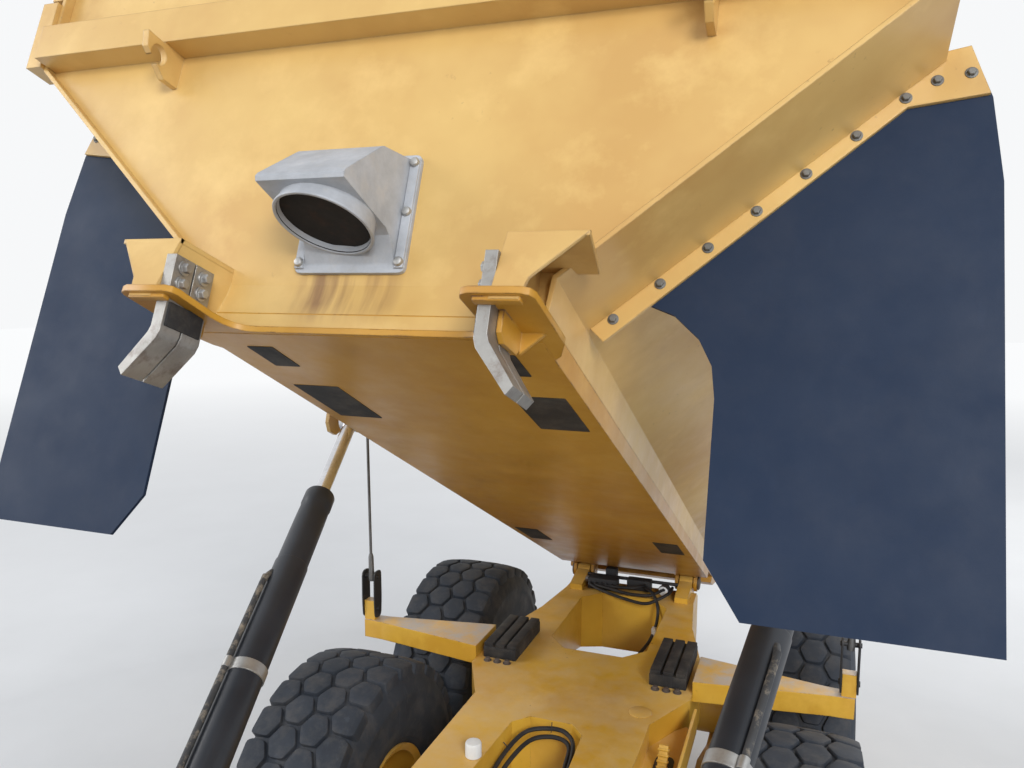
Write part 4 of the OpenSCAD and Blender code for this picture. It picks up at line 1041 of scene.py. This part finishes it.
# The deck's hoses: two from the boxes to the lamp's side, one short, one down into the frame,
# and two that loop over the frame's front opening
DECK_HOSES = (
    [(-0.28, -0.22, 1.545), (-0.2, -0.26, 1.53), (-0.03, -0.3, 1.505), (0.13, -0.31, 1.49),
     (0.22, -0.27, 1.52), (0.28, -0.2, 1.545), (0.29, -0.13, 1.56)],
    [(-0.24, -0.22, 1.545), (-0.15, -0.25, 1.545), (0.0, -0.27, 1.53), (0.14, -0.26, 1.53),
     (0.2, -0.22, 1.545), (0.24, -0.17, 1.555)],
    [(-0.16, -0.22, 1.545), (-0.08, -0.235, 1.555), (0.02, -0.22, 1.555), (0.08, -0.18, 1.56),
     (0.1, -0.14, 1.56)],
    [(0.1, -0.16, 1.55), (0.17, -0.24, 1.545), (0.22, -0.31, 1.49), (0.23, -0.38, 1.4),
     (0.2, -0.46, 1.3), (0.15, -0.56, 1.24)],
    [(-0.17, -2.62, 1.33), (-0.165, -2.35, 1.42), (-0.11, -2.13, 1.475), (0.0, -2.06, 1.488),
     (0.1, -2.07, 1.485), (0.165, -2.2, 1.47), (0.18, -2.55, 1.4), (0.19, -2.9, 1.33)],
    [(-0.15, -2.66, 1.3), (-0.14, -2.38, 1.39), (-0.08, -2.16, 1.45), (0.02, -2.09, 1.465),
     (0.12, -2.12, 1.46), (0.15, -2.28, 1.44), (0.16, -2.6, 1.36), (0.17, -2.9, 1.29)],
)


class DT_OT_deck(Maker):
    """Makes the boxes, hoses, lamp and small fittings on the rear frame's deck"""
    bl_idname = "dumptruck.deck"
    bl_label = "Deck fittings"

    def execute(self, context):
        size = context.scene.dt_fittings
        boxes, hoses, white, steel, pads, plates = (Form(TRUCK) for _ in range(6))
        for low, high in (
            ((-0.3, -0.205, 1.506), (-0.09, -0.11, 1.586)), ((-0.03, -0.15, 1.512), (0.14, -0.075, 1.588)),
            ((-0.2, -0.085, 1.506), (-0.12, -0.02, 1.625)), ((0.21, -0.15, 1.506), (0.27, -0.08, 1.54)),
        ):
            boxes.block(low, high, 0.008)
        for x in (-0.28, -0.24, -0.2, -0.16, -0.12):
            plug = facing(Vector((x, -0.204, 1.55)), (0, -1, -0.2))
            boxes.turned([(0.013, 0.0), (0.013, 0.022), (0.009, 0.028)], 14, plug)
        boxes.tube([(-0.326, -0.1, 1.574), (0.326, -0.1, 1.574)], 0.012, 12)
        lamp = facing(Vector((0.245, -0.11, 1.546)), (-0.2, -0.96, -0.1))
        boxes.turned([(0.024, 0.0), (0.036, 0.01), (0.039, 0.05), (0.039, 0.06)], 28, lamp)
        for points in DECK_HOSES:
            hoses.tube(smooth_path(points, 8), size.hose, 10)
        # Loose ends of the hoses' ties
        for place, way in (
            ((0.02, -2.075, 1.477), (0, 0.3, 1)), ((0.163, -2.235, 1.455), (1, -0.2, 0.6)),
            ((-0.135, -2.23, 1.44), (-1, 0.2, 0.8)), ((0.17, -2.5, 1.39), (1, 0, 0.5)),
        ):
            hoses.tube([Vector(place), Vector(place) + Vector(way).normalized() * 0.05], 0.0025, 6)
        white.turned([
            (0.034, 0.0), (0.038, 0.004), (0.038, 0.062), (0.034, 0.07), (0.012, 0.072),
        ], 32, Matrix.Translation((-0.24, -2.434, DECK)))
        white.block((0.205, -0.44, 1.315), (0.235, -0.395, 1.375), 0.004)
        cover = Matrix.Translation((0.4, -1.78, DECK))
        plates.turned([(0.058, -0.001), (0.058, 0.003), (0.055, 0.005)], 36, cover)
        shelf = [(0.455, -1.84), (0.5, -1.76), (0.61, -1.62), (0.66, -1.66), (0.66, -2.75), (0.44, -2.75)]
        plates.slab(shelf, 1.372, 1.386)
        plates.slab(box_outline(0.65, 0.664, -1.63, -2.75), 1.372, 1.498)
        boxes.slab(rounded(box_outline(0.515, 0.605, -2.16, -1.93), 0.05, 6), 1.385, 1.389)
        lever = facing(Vector((0.56, -2.08, 1.36)), (0.02, 0.45, 1.0))
        plates.block((-0.022, -0.014, 0.0), (0.022, 0.014, 0.15), 0.004, lever)
        for k in range(5):
            z = 0.02 + k * 0.026
            plates.block((-0.026, -0.018, z), (0.026, 0.018, z + 0.01), 0.003, lever)
        for _, side in SIDES:
            pads.side_block(side, (0.384, -1.475, DECK), (0.584, -1.025, DECK + 0.066), 0.006)
            for x in (0.414, 0.484, 0.554):
                low, high = (x - 0.028, -1.47, DECK + 0.06), (x + 0.028, -1.03, DECK + 0.086)
                pads.side_block(side, low, high, 0.006)
            for x in (0.425, 0.484, 0.543):
                for y in (-1.51, -0.99):
                    steel.bolt(Matrix.Translation((side * x, y, DECK)), 0.016, 0.018)
            # Along the front face of the tapered arm
            for x in (0.8, 0.95, 1.1, 1.25):
                steel.bolt(facing((side * x, -1.433 + (x - 0.62) * 0.06, 1.53), FORWARD), 0.009, 0.006)
            hinge = facing((side * 0.4475, 0, 1.571), (side, 0, 0))
            steel.turned([(0.048, 0.0), (0.048, 0.01), (0.04, 0.014)], 32, hinge)
        boxes.made("deck_boxes", "rear_frame", "black_plastic", "plastic")
        hoses.made("deck_hoses", "rear_frame", "rubber", "hose")
        white.made("deck_breather", "rear_frame", "black_plastic", "white")
        steel.made("deck_bolts", "rear_frame", "bare_steel", "rusty")
        ribbed = pads.made("ribbed_pads", "rear_frame", "rubber", "pad")
        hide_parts("rest_pads")
        plates.made("deck_plates", "rear_frame", "paint", "frame")
        lens = Form(TRUCK).turned([(0.035, 0.06), (0.033, 0.064), (0.016, 0.067)], 28, lamp)
        lens.made("deck_lamp_lens", "rear_frame", "glass", "clear_lens")
        return {"FINISHED"}


class DT_OT_wheel_nuts(Maker):
    """Makes the wheel nuts and the hub caps"""
    bl_idname = "dumptruck.wheel_nuts"
    bl_label = "Wheel nuts and hubs"

    def execute(self, context):
        for wheel in WHEEL_TURN:
            side = 1 if wheel.endswith("l") else -1
            middle = facing(wheel_middle(wheel), (side, 0, 0))
            nuts, cap = Form(middle), Form(middle)
            # Two rings of nuts: their count, where the first one is, the ring's radius and place
            for count, first, ring, out, radius, height in (
                (16, 0.5, 0.213, -0.01, 0.011, 0.022), (10, 0.0, 0.104, 0.158, 0.008, 0.01),
            ):
                for c, s in circle(count, first):
                    nuts.bolt(Matrix.Translation((ring * c, ring * s, out)), radius, height)
            cap.turned([
                (0.119, 0.1495), (0.119, 0.156), (0.116, 0.159), (0.09, 0.16), (0.086, 0.17),
                (0.08, 0.196), (0.066, 0.206), (0.02, 0.209),
            ], 40)
            nuts.made(f"wheel_nuts_{wheel}", f"wheel_{wheel}", "bare_steel", "rusty")
            cap.made(f"hub_cap_{wheel}", f"wheel_{wheel}", "ochre_paint", "frame")
        return {"FINISHED"}


def framed(form, corners):
    """A rubber seal round an opening."""
    line = rounded(corners, 0.05, 5)
    form.tube(line + line[:2], 0.012, 8)


def screen(x, z):
    """A point on the windscreen's leaning face."""
    return (x, -7.15 + 0.11 * (z - 2.08) / 1.15 - 0.004, z)


class DT_OT_cab_details(Maker):
    """Makes the cab's seals, rails, wipers, lamps, mirrors and seat cushions"""
    bl_idname = "dumptruck.cab_details"
    bl_label = "Cab details"

    def execute(self, context):
        seals, door_seal, rails, handle, black, glass, beacon, mirror = (Form(TRUCK) for _ in range(8))
        wall = 0.752
        rear_pane = [(-5.59, 2.27), (-5.59, 3.12), (-5.91, 3.12), (-5.91, 2.27)]
        door_pane = [(-6.05, 2.07), (-6.05, 3.09), (-6.65, 3.09), (-6.75, 2.07)]
        framed(door_seal, [(wall, y, z) for y, z in door_pane])
        framed(seals, [(-wall, y, z) for y, z in door_pane])
        framed(seals, [screen(x, z) for x, z in box_outline(-0.66, 0.66, 2.27, 3.16)])
        framed(seals, [(x, -5.497, z) for x, z in box_outline(-0.64, 0.64, 2.27, 3.12)])
        for _, side in SIDES:
            framed(seals, [(side * wall, y, z) for y, z in rear_pane])
            for y, low, high in ((-6.905, 1.8, 2.95), (-5.7, 1.75, 2.18)):
                rail = [
                    (0.748, y, low), (0.815, y, low + 0.05), (0.82, y, (low + high) / 2),
                    (0.815, y, high - 0.05), (0.748, y, high),
                ]
                rails.tube(smooth_path(on_side(side, rail), 6), 0.014, 12)
            pane = box_outline(1.066, 1.214, 2.206, 2.594)
            mirror.plate(rounded(on_side(side, pane), 0.03), 0.004, Matrix.Translation((0, -7.052, 0)))
            for z in (2.185, 2.6):
                black.side_block(side, (1.045, -7.12, z), (1.235, -7.054, z + 0.015), 0.006)
        # Wipers: an arm from its hub and a blade on the arm's end
        for x in (-0.38, 0.3):
            low, high = Vector(screen(x, 2.24)), Vector(screen(x + 0.16, 2.74))
            black.tube([low + Vector((0, -0.03, 0)), high + Vector((0, -0.022, 0))], 0.007, 8)
            blade, along = high + Vector((0, -0.012, 0)), Vector((0.12, 0.02, 0.3))
            black.tube([blade - along, blade + along], 0.008, 8)
            black.turned([(0.026, 0.0), (0.026, 0.03), (0.016, 0.036)], 18, facing(low, (0, -1, 0.1)))
        handle.block((wall, -6.79, 1.955), (0.76, -6.63, 2.015), 0.004)
        grip = [(0.757, -6.775, 1.985), (0.79, -6.755, 1.985), (0.79, -6.665, 1.985), (0.757, -6.645, 1.985)]
        handle.tube(smooth_path(grip, 5), 0.009, 10)
        # Lamps on the roof's front edge
        for x in (-0.52, -0.26, 0.26, 0.52):
            black.block((x - 0.065, -7.035, 3.215), (x + 0.065, -6.955, 3.325), 0.012)
            pane = box_outline(x - 0.056, x + 0.056, 3.226, 3.316)
            glass.plate(rounded(pane, 0.012), 0.006, Matrix.Translation((0, -7.041, 0)))
        # The air conditioner with its ribs, and the beacon behind it
        black.block((-0.36, -6.55, 3.285), (0.36, -5.95, 3.345), 0.02)
        for k in range(9):
            y = -6.5 + k * 0.06
            black.block((-0.3, y, 3.344), (0.3, y + 0.025, 3.352), 0.003)
        place = Matrix.Translation((-0.52, -5.72, 3.288))
        black.turned([(0.05, 0.0), (0.05, 0.03), (0.046, 0.034)], 28, place)
        beacon.turned([(0.044, 0.034), (0.044, 0.105), (0.036, 0.13), (0.012, 0.14)], 28, place)
        seals.made("cab_seals", "front_frame", "rubber", "pad")
        door_seal.made("door_seal", "door", "rubber", "pad")
        rails.made("cab_rails", "front_frame", "black_metal", "black")
        handle.made("door_handle", "door", "black_plastic", "plastic")
        black.made("cab_fittings", "front_frame", "black_plastic", "plastic")
        glass.made("cab_lamp_glass", "front_frame", "glass", "clear_lens")
        beacon.made("cab_beacon", "front_frame", "glass", "amber_lens")
        mirror.made("mirror_faces", "front_frame", "glass", "mirror")
        for name, low, high in (
            ("seat_cushion", (-0.255, -6.425, 2.035), (0.255, -5.925, 2.115)),
            ("back_cushion", (-0.24, -6.065, 2.075), (0.24, -5.985, 2.685)),
            ("head_cushion", (-0.14, -6.045, 2.7), (0.14, -5.975, 2.85)),
        ):
            form = Form(TRUCK).pillow(low, high)
            form.made(name, "front_frame", "rubber", "seat", sharp=60.0)
        return {"FINISHED"}


class DT_OT_hood_details(Maker):
    """Makes the hood's vents, latches and lamp glasses, and the tail lamps"""
    bl_idname = "dumptruck.hood_details"
    bl_label = "Hood and lamps"

    def execute(self, context):
        vents, glass, red, amber = (Form(TRUCK) for _ in range(4))
        tail_lens = [(0.038, -0.001), (0.037, 0.005), (0.018, 0.008)]
        for _, side in SIDES:
            for k in range(7):
                z = 1.72 + k * 0.045
                vents.side_block(side, (0.638, -8.15, z), (0.646, -7.55, z + 0.024), 0.003)
            for y in (-7.32, -8.4):
                vents.side_block(side, (0.638, y - 0.02, 1.3), (0.655, y + 0.02, 1.41), 0.006)
                latch = facing((side * 0.654, y, 1.395), (side, 0, 0))
                vents.turned([(0.02, 0.0), (0.02, 0.012), (0.012, 0.016)], 18, latch)
            front = facing((side * 0.54, -8.758, 1.56), FORWARD)
            glass.turned([(0.066, -0.001), (0.064, 0.006), (0.03, 0.012)], 32, front)
            for form, x in ((red, 0.38), (amber, 0.28)):
                form.turned(tail_lens, 28, facing((side * x, 0.11, 1.185), (0, 1, 0)))
        vents.made("hood_fittings", "hood", "black_plastic", "plastic")
        glass.made("head_lamp_glass", "hood", "glass", "clear_lens")
        red.made("tail_lamp_red", "rear_frame", "glass", "red_lens")
        amber.made("tail_lamp_amber", "rear_frame", "glass", "amber_lens")
        return {"FINISHED"}


class DT_PT_panel(bpy.types.Panel):
    """Lists the truck's makers and sizes"""
    bl_idname = "DT_PT_panel"
    bl_label = "Dump truck"
    bl_space_type = "VIEW_3D"
    bl_region_type = "UI"
    bl_category = "Dump Truck"

    def draw(self, context):
        layout = self.layout
        for group, kind in GROUPS:
            box = layout.box()
            box.label(text=kind.__name__)
            for key in kind.__annotations__:
                box.prop(getattr(context.scene, group), key)
        for operator in OPERATORS:
            layout.operator(operator.bl_idname)


GROUPS = (("dt_paints", DT_PG_paints), ("dt_tyre", DT_PG_tyre), ("dt_fittings", DT_PG_fittings))
OPERATORS = (
    DT_OT_finishes, DT_OT_stage, DT_OT_tyres, DT_OT_front_ears, DT_OT_exhaust_elbow, DT_OT_floor_pads,
    DT_OT_strip_bolts, DT_OT_hoist_details, DT_OT_wires, DT_OT_arm_tips, DT_OT_deck, DT_OT_wheel_nuts,
    DT_OT_cab_details, DT_OT_hood_details,
)


def register():
    for name, kind in GROUPS:
        bpy.utils.register_class(kind)
        setattr(bpy.types.Scene, name, PointerProperty(type=kind))
    for operator in OPERATORS:
        bpy.utils.register_class(operator)
    bpy.utils.register_class(DT_PT_panel)


def unregister():
    bpy.utils.unregister_class(DT_PT_panel)
    for operator in reversed(OPERATORS):
        bpy.utils.unregister_class(operator)
    for name, kind in reversed(GROUPS):
        delattr(bpy.types.Scene, name)
        bpy.utils.unregister_class(kind)


def main():
    register()
    make_finishes(bpy.context.scene.dt_paints)
    for operator in OPERATORS:
        group, call = operator.bl_idname.split(".")
        getattr(getattr(bpy.ops, group), call)()


if __name__ == "__main__":
    main()
